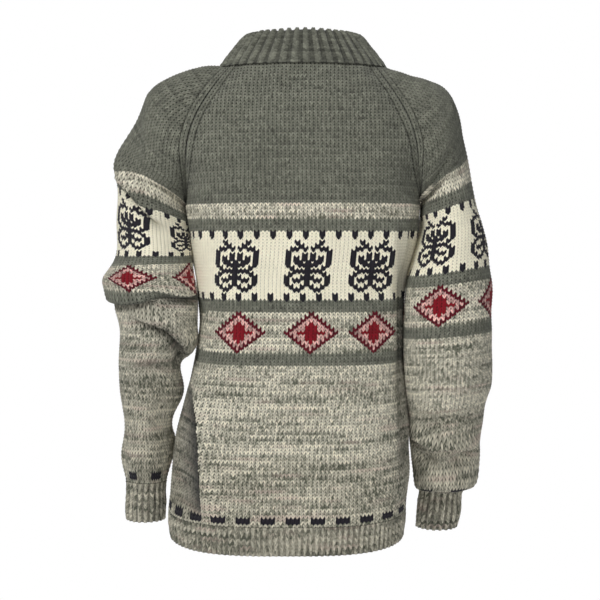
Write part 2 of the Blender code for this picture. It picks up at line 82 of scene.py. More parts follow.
# %% Sections of the body and of the yoke
# row, side z, back z, centre x, half width, back y, front y
BODY_SECTIONS = [
    (0, -0.193, -0.193, 0.0025, 0.1625, 0.112, -0.118),
    (-13, -0.246, -0.247, 0.0020, 0.1540, 0.108, -0.116),
    (-25, -0.295, -0.297, 0.0058, 0.1448, 0.104, -0.112),
    (-34, -0.332, -0.334, 0.0050, 0.1420, 0.102, -0.110),
    (-43, -0.369, -0.372, 0.0060, 0.1420, 0.102, -0.109),
    (-54, -0.413, -0.417, 0.0096, 0.1460, 0.105, -0.110),
    (-65, -0.457, -0.462, 0.0145, 0.1525, 0.110, -0.112),
    (-79, -0.512, -0.520, 0.0208, 0.1603, 0.118, -0.114),
    (-91, -0.560, -0.570, 0.0223, 0.1638, 0.124, -0.116),
    (-102, -0.603, -0.615, 0.0245, 0.1635, 0.127, -0.117),
    (-111, -0.636, -0.653, 0.0250, 0.1610, 0.124, -0.114),
]
# row, back seam x, y, z, front seam x, y, z
RAGLAN = {
    "left": [
        (0, 0.1650, 0.000, -0.1930, 0.1650, 0.000, -0.1930),
        (5, 0.1645, 0.028, -0.1750, 0.1630, -0.028, -0.1770),
        (12, 0.1625, 0.060, -0.1480, 0.1580, -0.060, -0.1530),
        (24, 0.1560, 0.084, -0.0960, 0.1420, -0.086, -0.1060),
        (36, 0.1320, 0.070, -0.0420, 0.1140, -0.083, -0.0610),
    ],
    "right": [
        (0, -0.1600, 0.000, -0.1930, -0.1600, 0.000, -0.1930),
        (5, -0.1585, 0.028, -0.1740, -0.1560, -0.028, -0.1770),
        (12, -0.1550, 0.060, -0.1460, -0.1480, -0.060, -0.1530),
        (24, -0.1465, 0.084, -0.0940, -0.1330, -0.086, -0.1060),
        (36, -0.1230, 0.070, -0.0420, -0.1060, -0.083, -0.0610),
    ],
}
# row, back y, back z, front y, front z, turn of the back and of the front arc's ends (degrees)
YOKE_MIDDLE = [
    (0, 0.112, -0.193, -0.118, -0.200, 0.0, 0.0),
    (5, 0.113, -0.172, -0.119, -0.182, 14.0, 13.0),
    (12, 0.113, -0.145, -0.120, -0.158, 30.0, 28.0),
    (24, 0.109, -0.095, -0.117, -0.118, 44.0, 44.0),
    (36, 0.096, -0.045, -0.106, -0.080, 42.0, 48.0),
]

print(f"underarm to hem edge: {BODY_SECTIONS[0][2] - BODY_SECTIONS[-1][2]:.3f} m")

# %% Sections of the sleeves
# row, crest x, y, z, back x, y, z, front x, y, z, fold at the seam (1 deep, 0 smooth)
CAP = {
    "left": [
        (12, 0.233, 0.000, -0.068, 0.212, 0.070, -0.108, 0.207, -0.072, -0.112, 0.60),
        (24, 0.213, -0.002, -0.019, 0.201, 0.062, -0.052, 0.196, -0.066, -0.058, 0.18),
        (36, 0.165, -0.004, 0.000, 0.156, 0.045, -0.012, 0.152, -0.055, -0.026, 0.0),
    ],
    "right": [
        (12, -0.213, 0.000, -0.068, -0.196, 0.068, -0.108, -0.191, -0.072, -0.112, 0.60),
        (24, -0.192, -0.002, -0.024, -0.184, 0.060, -0.055, -0.179, -0.066, -0.060, 0.18),
        (36, -0.150, -0.004, -0.010, -0.145, 0.043, -0.019, -0.141, -0.055, -0.030, 0.0),
    ],
}
# row, inner x, inner z, outer x, outer z, middle y, half depth
TUBE = {
    "left": [
        (0, 0.1660, -0.194, 0.2620, -0.133, 0.000, 0.066),
        (-8, 0.1628, -0.214, 0.2610, -0.164, 0.010, 0.066),
        (-19, 0.1576, -0.238, 0.2600, -0.211, 0.024, 0.065),
        (-30, 0.1562, -0.259, 0.2610, -0.259, 0.036, 0.064),
        (-40, 0.1515, -0.286, 0.2740, -0.288, 0.044, 0.064),
        (-51, 0.1462, -0.320, 0.2680, -0.313, 0.047, 0.062),
        (-62, 0.1470, -0.359, 0.2530, -0.355, 0.041, 0.058),
        (-68, 0.1505, -0.383, 0.2550, -0.380, 0.033, 0.056),
        (-73, 0.1690, -0.403, 0.2580, -0.402, 0.024, 0.054),
        (-79, 0.1715, -0.427, 0.2580, -0.426, 0.014, 0.052),
        (-85, 0.1705, -0.453, 0.2578, -0.452, 0.002, 0.050),
        (-90, 0.1820, -0.476, 0.2565, -0.476, -0.008, 0.048),
        (-95, 0.1895, -0.501, 0.2557, -0.501, -0.018, 0.046),
        (-99, 0.1850, -0.521, 0.2580, -0.521, -0.027, 0.045),
        (-104, 0.1880, -0.547, 0.2611, -0.547, -0.038, 0.044),
        (-110, 0.1990, -0.583, 0.2563, -0.583, -0.050, 0.032),
        (-116, 0.2010, -0.610, 0.2571, -0.610, -0.058, 0.031),
        (-123, 0.2030, -0.641, 0.2578, -0.641, -0.066, 0.030),
    ],
    "right": [
        (0, -0.1610, -0.190, -0.2280, -0.130, 0.000, 0.064),
        (-8, -0.1598, -0.206, -0.2370, -0.179, 0.010, 0.064),
        (-19, -0.1540, -0.243, -0.2466, -0.225, 0.024, 0.064),
        (-30, -0.1410, -0.287, -0.2523, -0.272, 0.036, 0.064),
        (-40, -0.1360, -0.328, -0.2563, -0.315, 0.043, 0.063),
        (-51, -0.1345, -0.372, -0.2555, -0.361, 0.045, 0.062),
        (-62, -0.1358, -0.409, -0.2553, -0.400, 0.040, 0.061),
        (-73, -0.1392, -0.446, -0.2557, -0.438, 0.028, 0.060),
        (-84, -0.1430, -0.485, -0.2499, -0.475, 0.010, 0.057),
        (-95, -0.1480, -0.527, -0.2461, -0.519, -0.012, 0.053),
        (-104, -0.1540, -0.570, -0.2463, -0.561, -0.034, 0.050),
        (-107, -0.1575, -0.590, -0.2430, -0.587, -0.042, 0.047),
        (-110, -0.1640, -0.594, -0.2303, -0.594, -0.052, 0.034),
        (-116, -0.1630, -0.621, -0.2248, -0.621, -0.060, 0.033),
        (-123, -0.1610, -0.652, -0.2190, -0.652, -0.067, 0.031),
    ],
}
SLEEVE_NECK_ANGLES = (0, 15, -22)            # where crest, back and front lines meet the neckline
for side, sections in TUBE.items():
    print(f"{side} underarm to cuff edge: {sections[0][2] - sections[-1][2]:.3f} m")


# %% [markdown]
# ## Smooth curves through the tables
# A natural cubic spline bends like a thin strip of wood held at a few nails. It gives every
# section between two table rows, and with given end slopes it also rounds the sleeve's sections.

# %% Splines
def spline(knots, points, at, start=None, end=None):
    """Smooth curve through points at knots, read at `at`; a given start or end slope clamps it."""
    knots = np.asarray(knots, float)
    points = np.asarray(points, float)
    step = np.diff(knots)
    slope = np.diff(points, axis=0) / step.reshape((-1,) + (1,) * (points.ndim - 1))
    count = len(knots)
    system = np.eye(count)
    bend = np.zeros_like(points)
    for i in range(1, count - 1):
        system[i, i - 1:i + 2] = step[i - 1], 2 * (step[i - 1] + step[i]), step[i]
        bend[i] = 6 * (slope[i] - slope[i - 1])
    if start is not None:
        system[0, :2] = 2 * step[0], step[0]
        bend[0] = 6 * (slope[0] - start)
    if end is not None:
        system[-1, -2:] = step[-1], 2 * step[-1]
        bend[-1] = 6 * (end - slope[-1])
    curvature = np.tensordot(np.linalg.inv(system), bend, axes=1)
    at = np.asarray(at, float)
    span = np.clip(np.searchsorted(knots, at) - 1, 0, count - 2)
    shape = at.shape + (1,) * (points.ndim - 1)
    width = step[span].reshape(shape)
    far = ((at - knots[span]).reshape(shape)) / width
    near = 1 - far
    line = near * points[span] + far * points[span + 1]
    curve = (near ** 3 - near) * curvature[span] + (far ** 3 - far) * curvature[span + 1]
    return line + curve * width ** 2 / 6


def table_spline(table, rows):
    """Columns of a section table at the given rows; the table's first column is the row."""
    ordered = np.array(sorted(table), float)
    return spline(ordered[:, 0], ordered[:, 1:], rows)


waist = table_spline(BODY_SECTIONS, np.arange(HEM_END_ROW, 1))[:, 3].min() * 2
print(f"waist: {waist:.3f} m wide")


# %% Neckline and raglan seams
print(f"neckline: {2 * NECK_HALF_WIDTH:.3f} m wide, {2 * NECK_HALF_DEPTH:.3f} m from front to back")


def neck_point(degrees):
    """Point on the neckline, turning from the wearer's left (0) over the back (90)."""
    angle = math.radians(degrees)
    dip = NECK_FRONT_DIP * max(0.0, -math.sin(angle)) ** NECK_DIP_POWER
    return (
        NECK_CENTRE[0] + NECK_HALF_WIDTH * math.cos(angle),
        NECK_CENTRE[1] + NECK_HALF_DEPTH * math.sin(angle),
        NECK_CENTRE[2] - dip,
    )


def raglan(side, rows):
    """Back and front raglan seam points of one side for rows from 0 to the neck."""
    left = side == "left"
    back = BACK_RAGLAN_ANGLE if left else 180 - BACK_RAGLAN_ANGLE
    front = FRONT_RAGLAN_ANGLE if left else 180 - FRONT_RAGLAN_ANGLE
    table = RAGLAN[side] + [(NECK_ROW, *neck_point(back), *neck_point(front))]
    seams = table_spline(table, rows)
    return seams[:, :3], seams[:, 3:]


# %% The body's arcs
def body_arc_ends(face, rows):
    """Left end, right end and middle of each row's arc, with its turn and its squareness."""
    back = face == "back"
    count = len(rows)
    left, right, middle = np.zeros((count, 3)), np.zeros((count, 3)), np.zeros((count, 3))
    low_square = BACK_SQUARENESS if back else FRONT_SQUARENESS
    turn, square = np.zeros(count), np.full(count, low_square)
    low = rows <= 0
    side_z, back_z, centre_x, half_width, back_y, front_y = table_spline(BODY_SECTIONS, rows[low]).T
    zero = np.zeros_like(side_z)
    left[low] = np.stack([centre_x + half_width, zero, side_z], 1)
    right[low] = np.stack([centre_x - half_width, zero, side_z], 1)
    if back:
        middle[low] = np.stack([centre_x, back_y, back_z], 1)
    else:
        middle[low] = np.stack([centre_x, front_y, side_z - FRONT_DROP], 1)
    yoke = ~low
    left[yoke] = raglan("left", rows[yoke])[0 if back else 1]
    right[yoke] = raglan("right", rows[yoke])[0 if back else 1]
    neck_back, neck_front = neck_point(90), neck_point(-90)
    table = YOKE_MIDDLE + [(NECK_ROW, neck_back[1], neck_back[2], neck_front[1], neck_front[2],
                            BACK_RAGLAN_ANGLE, -FRONT_RAGLAN_ANGLE)]
    columns = table_spline(table, rows[yoke])
    pick = (0, 1, 4) if back else (2, 3, 5)
    centre = np.full(columns.shape[0], NECK_CENTRE[0])
    middle[yoke] = np.stack([centre, columns[:, pick[0]], columns[:, pick[1]]], 1)
    turn[yoke] = np.radians(columns[:, pick[2]])
    share = np.clip(rows[yoke] / NECK_ROW, 0, 1) ** 2
    square[yoke] = low_square + (NECK_SQUARENESS - low_square) * share
    return left, right, middle, turn, square


def even_columns(points, columns, margin):
    """The same arcs read at columns evenly spaced along the cloth, a margin inside both ends."""
    lengths = np.linalg.norm(np.diff(points, axis=1), axis=2)
    along = np.concatenate([np.zeros((len(points), 1)), np.cumsum(lengths, 1)], 1)
    result = np.zeros((len(points), len(columns), 3))
    for i, run in enumerate(along):
        places = margin[i] + columns * (run[-1] - 2 * margin[i])
        for axis in range(3):
            result[i, :, axis] = np.interp(places, run, points[i, :, axis])
    return result


ARC_POINTS = 161             # points that each row's curve is measured with


def body_grid(face, rows, columns):
    """Points of the back or the front: one arc per row, from its left edge to its right edge."""
    left, right, middle, turn, square = body_arc_ends(face, rows)
    fine = np.linspace(0, 1, ARC_POINTS)
    angle = turn[:, None] + (math.pi - 2 * turn[:, None]) * fine
    power = 2 / square[:, None]
    first = np.cos(turn)[:, None] ** power
    base = np.sin(turn)[:, None] ** power
    aside = np.sign(np.cos(angle)) * np.abs(np.cos(angle)) ** power / first
    out = (np.abs(np.sin(angle)) ** power - base) / (1 - base)
    chord_middle = (left + right)[:, None] / 2
    half_chord = (left - right)[:, None] / 2
    if face == "front":
        aside = -aside
    points = chord_middle + aside[..., None] * half_chord
    points = points + out[..., None] * (middle[:, None] - chord_middle)
    return even_columns(points, columns, np.full(len(rows), SEAM_MARGIN))


def row_length(points):
    """Length of every row of a grid of points."""
    return np.linalg.norm(np.diff(points, axis=1), axis=2).sum(1)


underarm, every_column = np.zeros(1), np.linspace(0, 1, ARC_POINTS)
chest = sum(row_length(body_grid(face, underarm, every_column))[0] for face in ("back", "front"))
print(f"round the chest: {chest:.3f} m")


# %% The sleeves' rounds
def sleeve_lines(side, rows):
    """Five lines along the sleeve (seam, back, crest, front, seam) and the end slopes of its rows."""
    left = side == "left"
    row, inner_x, inner_z, outer_x, outer_z, middle_y, half_depth = np.array(TUBE[side]).T
    middle_x, middle_z = (inner_x + outer_x) / 2, (inner_z + outer_z) / 2
    tube_lines = np.stack([
        row, outer_x, middle_y, outer_z,
        middle_x, middle_y + half_depth, middle_z,
        middle_x, middle_y - half_depth, middle_z, np.ones_like(row),
    ], 1)
    neck = [neck_point(angle if left else 180 - angle) for angle in SLEEVE_NECK_ANGLES]
    neck_row = (NECK_ROW, *neck[0], *neck[1], *neck[2], 0)
    lines = table_spline([*map(tuple, tube_lines), *CAP[side], neck_row], rows)
    crest, back, front, fold = lines[:, :3], lines[:, 3:6], lines[:, 6:9], lines[:, 9:]
    fold = np.clip(fold, 0, 1)
    seam = table_spline(list(zip(row, inner_x, middle_y, inner_z)), np.minimum(rows, 0))
    back_seam, front_seam = seam.copy(), seam.copy()
    yoke = rows > 0
    back_seam[yoke], front_seam[yoke] = raglan(side, rows[yoke])
    fold[~yoke] = 1
    round_slope = np.zeros_like(seam)
    round_slope[:, 1] = math.pi * (back - front)[:, 1]
    # The five lines lie a quarter of the round apart, so a slope is four times a step.
    back_slope = 4 * (back - back_seam) * (1 - fold) + round_slope * fold
    front_slope = 4 * (front_seam - front) * (1 - fold) + round_slope * fold
    if left:
        return (front_seam, front, crest, back, back_seam), -front_slope, -back_slope
    return (back_seam, back, crest, front, front_seam), back_slope, front_slope


def sleeve_grid(side, rows, columns):
    """Points of a sleeve: each row is a smooth curve round the arm from seam to seam."""
    lines, start, end = sleeve_lines(side, rows)
    fine = np.linspace(0, 1, ARC_POINTS)
    points = spline(np.linspace(0, 1, len(lines)), np.stack(lines), fine, start, end)
    margin = np.where(rows > 0, SEAM_MARGIN, 0)
    return even_columns(points.transpose(1, 0, 2), columns, margin)


for side in TUBE:
    upper_arm = row_length(sleeve_grid(side, underarm, every_column))[0]
    print(f"round the {side} upper arm: {upper_arm:.3f} m")


# %% [markdown]
# ## Folds
# Worn knitwear buckles where an arm bends and hangs in soft pipes at the waist. Each line of the
# table is one fold: a trough is negative and a ridge is positive. Its lean pushes the cloth
# sideways along the wall, towards the line's right-hand side when positive, so that a ridge
# rolls over and hides what is beneath it. Little light gets into a real hollow, and still less
# between the body and a sleeve, so the wool's colour is darkened there as well.

# %% Fold table
# column and row at the start and at the end, half width, height, lean
FOLDS = {
    "back": [
        (0.165, -56, 0.275, -90, 0.011, 0.003, 0.008),
        (0.275, -90, 0.295, -99, 0.011, 0.003, 0.007),
        (0.035, -5, 0.06, -20, 0.012, 0.004, 0.000),
        (0.955, -4, 0.92, -30, 0.012, 0.003, 0.000),
        (0.76, -4, 0.83, -48, 0.011, 0.004, 0.000),
        (0.87, -4, 0.88, -52, 0.010, -0.010, 0.000),
        (0.86, -54, 0.93, -97, 0.012, -0.006, 0.000),
        (0.94, -58, 0.97, -99, 0.013, 0.004, 0.000),
        (0.10, 2, 0.30, -12, 0.012, -0.002, 0.000),
        (0.74, -2, 0.90, 8, 0.012, -0.002, 0.000),
    ],
    "front": [
        (0.10, -30, 0.12, -95, 0.014, -0.009, 0.000),
        (0.91, -20, 0.88, -80, 0.014, -0.009, 0.000),
        (0.22, -52, 0.25, -101, 0.014, 0.003, 0.000),
        (0.62, 12, 0.84, -6, 0.012, -0.003, 0.000),
        (0.16, -6, 0.36, 10, 0.012, -0.003, 0.000),
        (0.40, 42, 0.60, 42, 0.014, -0.003, 0.000),
    ],
    "sleeve_left": [
        (0.54, 20, 0.58, 42, 0.030, -0.009, 0.000),
        (0.72, 0.5, 0.97, 1.5, 0.016, 0.000, -0.012),
        (0.47, 10, 0.80, -12.5, 0.012, 0.006, 0.020),
        (0.47, 6, 0.78, -15, 0.009, -0.012, -0.012),
        (0.52, -50, 0.74, -50, 0.010, 0.008, 0.014),
        (0.51, -53.5, 0.76, -53, 0.008, -0.012, -0.009),
        (0.82, -47.5, 0.98, -46, 0.010, 0.005, 0.009),
        (0.80, -51, 0.99, -50, 0.009, -0.013, -0.004),
        (0.67, -57.5, 0.79, -58.5, 0.010, 0.005, 0.008),
        (0.77, -58, 0.96, -70, 0.011, 0.008, 0.014),
        (0.67, -60, 0.79, -61.5, 0.008, -0.011, -0.005),
        (0.77, -61, 0.94, -73, 0.009, -0.018, -0.008),
        (0.69, -76, 0.88, -75.5, 0.008, -0.005, 0.000),
        (0.10, -50, 0.36, -60, 0.013, -0.008, 0.000),
        (0.08, -22, 0.30, -10, 0.012, -0.005, 0.000),
        (0.14, -66, 0.34, -72, 0.011, -0.004, 0.000),
    ],
    "sleeve_right": [
        (0.02, 0, 0.26, 1, 0.020, 0.000, -0.018),
        (0.02, -87, 0.22, -91.5, 0.010, 0.008, 0.013),
        (0.18, -91.5, 0.42, -94, 0.010, 0.008, 0.013),
        (0.01, -90.5, 0.21, -95, 0.008, -0.015, -0.006),
        (0.18, -95, 0.40, -98, 0.009, -0.016, -0.007),
        (0.06, -98, 0.19, -102, 0.008, -0.012, 0.000),
        (0.24, -102, 0.36, -100.5, 0.008, -0.012, 0.000),
        (0.08, -81, 0.30, -82, 0.010, 0.004, 0.000),
        (0.17, -83.5, 0.33, -85, 0.008, -0.004, 0.000),
        (0.58, -60, 0.88, -70, 0.012, -0.008, 0.000),
        (0.58, -92, 0.84, -98, 0.011, -0.008, 0.003),
        (0.62, -24, 0.86, -14, 0.012, -0.004, 0.000),
        (0.05, -2, 0.22, 10, 0.010, -0.004, 0.000),
    ],
}
FOLD_END_STRENGTH = 0.35     # share of a fold's height that is left at its two ends
print("folds:", ", ".join(f"{piece} {len(folds)}" for piece, folds in FOLDS.items()))

# %% Hollows where little light comes
SHADE_LINES = 400            # lines each way that the folds' shading is worked out on
# how much darker wool looks in a hollow as deep as it is wide, most at the pinched left elbow
FOLD_SHADE = {"back": 0.30, "front": 0.30, "sleeve_left": 0.45, "sleeve_right": 0.08}
DARKEST_FOLD = 0.30
# The left flank is tucked in behind the back where the sleeve presses on it: row, distance of
# the tuck's border from the middle, and share of the flank's depth that is lost.
TUCK = [
    (-101, 0.136, 0.00), (-97, 0.138, 0.55), (-89, 0.1405, 0.72), (-78, 0.1435, 0.74),
    (-69, 0.147, 0.70), (-64, 0.151, 0.55), (-58, 0.156, 0.25), (-52, 0.165, 0.00),
]
TUCK_WALL = 0.032            # width of the slope inside the border
TUCK_SHADE = 0.93            # how dark the wool looks just inside the tuck's border
TUCK_SHADE_SHARE = 0.6       # share of the depth from which the tuck is fully dark
TUCK_SHADE_KEPT = 0.45       # share of the darkness that is left far inside the tuck
TUCK_SHADE_FALL = 0.45       # how far from the border it falls off, in widths of the slope
SHADOW_BORDER = -0.1215      # where the shade beside the right sleeve begins, from the middle
SHADOW_EDGE = 0.003          # and how soft its border is
SHADOW_ROWS = (-96, -84, -22, -10)           # rows where it ends, is full, is full and ends
SHADOW = 0.38                # how much darker the wool looks there
SPREAD = {"back": 0.46, "front": 0.46, "sleeve_left": 0.36, "sleeve_right": 0.36}    # laid-out widths
print("a tuck over", TUCK[-1][0] - TUCK[0][0], "rows of the left flank")


# %% Reading the folds
def fold_shifts(piece, rows, columns):
    """Height of the folds, their push across and along the cloth, and how deep hollows are."""
    spread = SPREAD[piece]
    shifts = np.zeros((4, len(rows), len(columns)))
    place = np.stack(np.meshgrid(columns * spread, rows * ROW_HEIGHT), 2)
    for column_a, row_a, column_b, row_b, half_width, height, lean in FOLDS[piece]:
        start = np.array([column_a * spread, row_a * ROW_HEIGHT])
        run = np.array([column_b * spread, row_b * ROW_HEIGHT]) - start
        share = ((place - start) @ run) / (run @ run)
        nearest = start + np.clip(share, 0, 1)[..., None] * run
        away = np.linalg.norm(place - nearest, axis=2)
        middle = np.clip(1 - np.abs(2 * share - 1), 0, 1)
        strength = FOLD_END_STRENGTH + (1 - FOLD_END_STRENGTH) * np.sqrt(middle)
        shape = strength * np.exp(-(away / half_width) ** 2)
        right_hand = np.array([run[1], -run[0]]) / np.linalg.norm(run)
        shifts[0] += height * shape
        shifts[1] += lean * shape * right_hand[0]
        shifts[2] += lean * shape * right_hand[1]
        shifts[3] += min(height, 0) / half_width * np.sqrt(shape)
    return shifts


def fold_shade(piece, rows, shares):
    """Painted shade: brightness of a piece's wool, which falls in hollows, the more the narrower they
    are.
    """
    line = np.linspace(rows.min(), rows.max(), SHADE_LINES)
    hollow = fold_shifts(piece, line, np.linspace(0, 1, SHADE_LINES))[3]
    at_line = np.rint((rows - line[0]) / (line[1] - line[0])).astype(int)
    at_share = np.rint(np.clip(shares, 0, 1) * (SHADE_LINES - 1)).astype(int)
    return np.clip(1 + FOLD_SHADE[piece] * hollow[at_line, at_share], DARKEST_FOLD, 1)


def tucked(rows, points):
    """The back's points with its left flank drawn in towards the side seam."""
    row, border, share = np.array(TUCK).T
    beyond = (points[..., 0] - np.interp(rows, row, border)[:, None]) / TUCK_WALL
    step = np.clip(beyond, 0, 1) * np.interp(rows, row, share)[:, None]
    result = points.copy()
    result[..., 1] = points[..., 1] * (1 - step)
    return result


def tuck_shade(rows, points):
    """Painted shade: brightness of the back's wool, which falls along the inside of the tuck's border.
    """
    row, border, share = np.array(TUCK).T
    beyond = (points[..., 0] - np.interp(rows, row, border)) / TUCK_WALL
    hollow = TUCK_SHADE * np.clip(np.interp(rows, row, share) / TUCK_SHADE_SHARE, 0, 1)
    near = np.exp(-(beyond / TUCK_SHADE_FALL) ** 2)
    hollow = hollow * (TUCK_SHADE_KEPT + (1 - TUCK_SHADE_KEPT) * near)
    return np.where(beyond > 0, 1 - hollow, 1)


def sleeve_shadow(rows, points):
    """Brightness of the back's wool close to the right sleeve, which keeps the light off it."""
    beside = np.clip((SHADOW_BORDER - points[..., 0]) / SHADOW_EDGE, 0, 1)
    return 1 - SHADOW * beside * np.interp(rows, SHADOW_ROWS, (0, 1, 1, 0))


WAVE_LENGTHS = (0.11, 0.08, 0.06, 0.045)
WAVE_HEIGHT = 0.008          # height of each wave, as a share of its length


def slack(rows, columns, spread, seed):
    """Slow, small waves that keep the cloth from looking pressed flat."""
    rng = np.random.default_rng(seed)
    x, y = np.meshgrid(columns * spread, rows * ROW_HEIGHT)
    wave = np.zeros_like(x)
    for length in WAVE_LENGTHS:
        turn, phase = rng.uniform(0, math.pi), rng.uniform(0, 2 * math.pi)
        ahead = x * math.cos(turn) + y * math.sin(turn)
        wave += length * np.sin(2 * math.pi * ahead / length + phase)
    return wave * WAVE_HEIGHT


# %% The folded form of a piece
FORM_COLUMNS = 241
FORM_STEP = 0.5              # rows from one line of the form's grid to the next
SEAM_FADE = 0.03             # share of a row in which the folds fade out towards a seam
EDGE_FADE = 4                # rows in which they fade out towards the top and the bottom
LAST_CELL = 1.001            # keeps a place that is read just short of the grid's last line


def unit(vectors):
    """The same directions with a length of one."""
    return vectors / np.linalg.norm(vectors, axis=-1, keepdims=True)


def slopes(points, closed):
    """Steps across and along a grid of points; a closed row also looks past its two ends."""
    across = np.gradient(points, axis=1)
    round_step = (points[closed, 1] - points[closed, -2]) / 2
    across[closed, 0] = round_step
    across[closed, -1] = round_step
    return across, np.gradient(points, axis=0)


def folded_form(piece, low, high):
    """Rows, points, outward normals and row lengths of a piece on a fine grid, with its folds."""
    rows = np.arange(low, high + FORM_STEP / 2, FORM_STEP)
    columns = np.linspace(0, 1, FORM_COLUMNS)
    if piece in ("back", "front"):
        points = body_grid(piece, rows, columns)
        closed = rows > np.inf
    else:
        points = sleeve_grid(piece.split("_")[1], rows, columns)
        closed = rows <= 0
    across, along = slopes(points, closed)
    outward = unit(np.cross(across, along))
    height, sideways, upwards, _ = fold_shifts(piece, rows, columns)
    height = height + slack(rows, columns, SPREAD[piece], len(piece))
    seam_fade = np.clip(np.minimum(columns, 1 - columns) / SEAM_FADE, 0, 1)
    edge_fade = np.clip(np.minimum(rows - low, high - rows) / EDGE_FADE, 0, 1)
    fade = (seam_fade * edge_fade[:, None])[..., None]
    moved = outward * height[..., None] + unit(across) * sideways[..., None]
    points = points + (moved + unit(along) * upwards[..., None]) * fade
    lengths = row_length(points)
    if piece == "back":
        points = tucked(rows, points)
    across, along = slopes(points, closed)
    return rows, points, unit(np.cross(across, along)), lengths


def read_form(form, rows, columns):
    """Points and normals of a folded form at arrays of rows and of column shares."""
    form_rows, points, normals, _ = form
    height = np.clip((rows - form_rows[0]) / FORM_STEP, 0, len(form_rows) - LAST_CELL)
    across = np.clip(columns * (FORM_COLUMNS - 1), 0, FORM_COLUMNS - LAST_CELL)
    line, column = height.astype(int), across.astype(int)
    up, side = (height - line)[..., None], (across - column)[..., None]

    def blend(grid):
        lower = grid[line, column] * (1 - side) + grid[line, column + 1] * side
        upper = grid[line + 1, column] * (1 - side) + grid[line + 1, column + 1] * side
        return lower * (1 - up) + upper * up

    return blend(points), unit(blend(normals))


# %% [markdown]
# ## How stitches share the cloth
# A body panel has 84 stitches all the way down. They keep their width in the middle of the back,
# and crowd at the sides where the waist is narrow. Above the underarm the knitter decreases: two
# stitches become one, two stitches in from the raglan, so upright columns of stitches end there
# one after another while the outer two run along the seam. Here every column keeps its place in
# the grid, the columns that have ended all meet on the decrease line, and merging doubles there
# leaves a clean mesh.

# %% Stitch counts
BODY_STITCHES = 84
HEM_STITCHES = 128           # the hem is knitted on finer needles, so its ribs are narrow
SLEEVE_STITCHES = 66
WRIST_STITCHES = 56
CUFF_STITCHES = 40
COLLAR_STITCHES = 88
EDGE_STITCHES = 2            # stitches that run beside a raglan, outside its decrease line
CROWDING = 5                 # how strongly spare width is pushed to a panel's sides
EASE_ROWS = 6                # rows over the underarm in which the crowding ends
UNDECREASED = 0.01           # half the stitches that may be missing before a row counts as decreased
print("hem stitches to a body stitch:", round(HEM_STITCHES / BODY_STITCHES, 2))


def arc_lengths(form, rows):
    """Length of the cloth from edge to edge at any rows."""
    return np.interp(rows, form[0], form[3])


def body_live(form, rows):
    """Half the live stitches of a body panel, and the spare half width that is crowded away."""
    half = arc_lengths(form, rows) / 2
    spare = BODY_STITCHES / 2 * STITCH_WIDTH - half
    spare_at_underarm = BODY_STITCHES / 2 * STITCH_WIDTH - arc_lengths(form, 0) / 2
    ease = np.clip(1 - rows / EASE_ROWS, 0, 1)
    spare = np.where(rows > 0, spare_at_underarm * ease, spare)
    return (half + spare) / STITCH_WIDTH, spare


def sleeve_live(form, rows):
    """Half the live stitches of a sleeve; nothing is crowded away."""
    down = np.clip(-rows / -CUFF_ROW, 0, 1)
    tube = SLEEVE_STITCHES + (WRIST_STITCHES - SLEEVE_STITCHES) * down
    cap = SLEEVE_STITCHES * np.minimum(1, arc_lengths(form, rows) / arc_lengths(form, 0))
    return np.where(rows > 0, cap, tube) / 2, np.zeros_like(rows)


def column_shares(form, live, rows, places, stitches):
    """Where each stitch place lies between a row's two ends, and which places have ended."""
    half_live, spare = live(form, rows)
    count, size = stitches / 2, np.abs(places)
    inner = half_live - EDGE_STITCHES
    ended = (size >= inner) & (size <= count - EDGE_STITCHES) & (half_live < count - UNDECREASED)
    kept = np.maximum(np.minimum(size, inner), half_live - (count - size))
    half_width = half_live * STITCH_WIDTH - spare
    reach = kept * STITCH_WIDTH - spare * (kept / half_live) ** CROWDING
    return 0.5 + np.sign(places) * reach / (2 * half_width), ended


# %% [markdown]
# ## The shape of a stitch
# Each stitch gets four grid columns and two grid rows. The grid lines climb from the middle of a
# stitch to its edges, which makes the V, and the height table makes each leg a round strand with
# a gap between neighbours. A purl stitch is the same loop seen from behind: it lies deeper and
# shows a bump across the column instead of a V.

# %% Heights inside one stitch
GRID_COLUMNS, GRID_ROWS = 4, 2               # grid cells to a stitch
LEG_CLIMB = 0.70             # rows from the foot of a V to its tips
MM = 0.001
# millimetres at a column's edge, leg, middle and leg, first where two rows meet, then mid-row
PLAIN_HEIGHTS = np.array([[-1.90, -0.25, -0.70, -0.25], [-0.30, 0.55, 0.05, 0.55]]) * MM
KNIT_RIB_HEIGHTS = np.array([[-0.60, 1.05, 0.80, 1.05], [-0.45, 1.25, 0.95, 1.25]]) * MM
PURL_RIB_HEIGHTS = np.array([[-1.30, -1.15, -1.00, -1.15], [-1.40, -1.60, -1.50, -1.60]]) * MM
BUMP_ROW_HEIGHTS = np.array([[-0.80, 0.60, 0.90, 0.60], [-0.90, 0.20, 0.60, 0.20]]) * MM
DECREASE_HEIGHT = -2.0 * MM
EDGE_RIDGE = 0.5 * MM        # how far the stitches beside a raglan stand up
SEAM_SHADE = 0.5             # painted shade: brightness of the wool in the sunken decrease line and at the seam
KNIT_SHARE = 0.62            # a rib's knit column is this share of its pair
UNEVENNESS = 0.14            # how much stitches differ in height
print(f"relief of plain knitting: {np.ptp(PLAIN_HEIGHTS) / MM:.2f} mm")


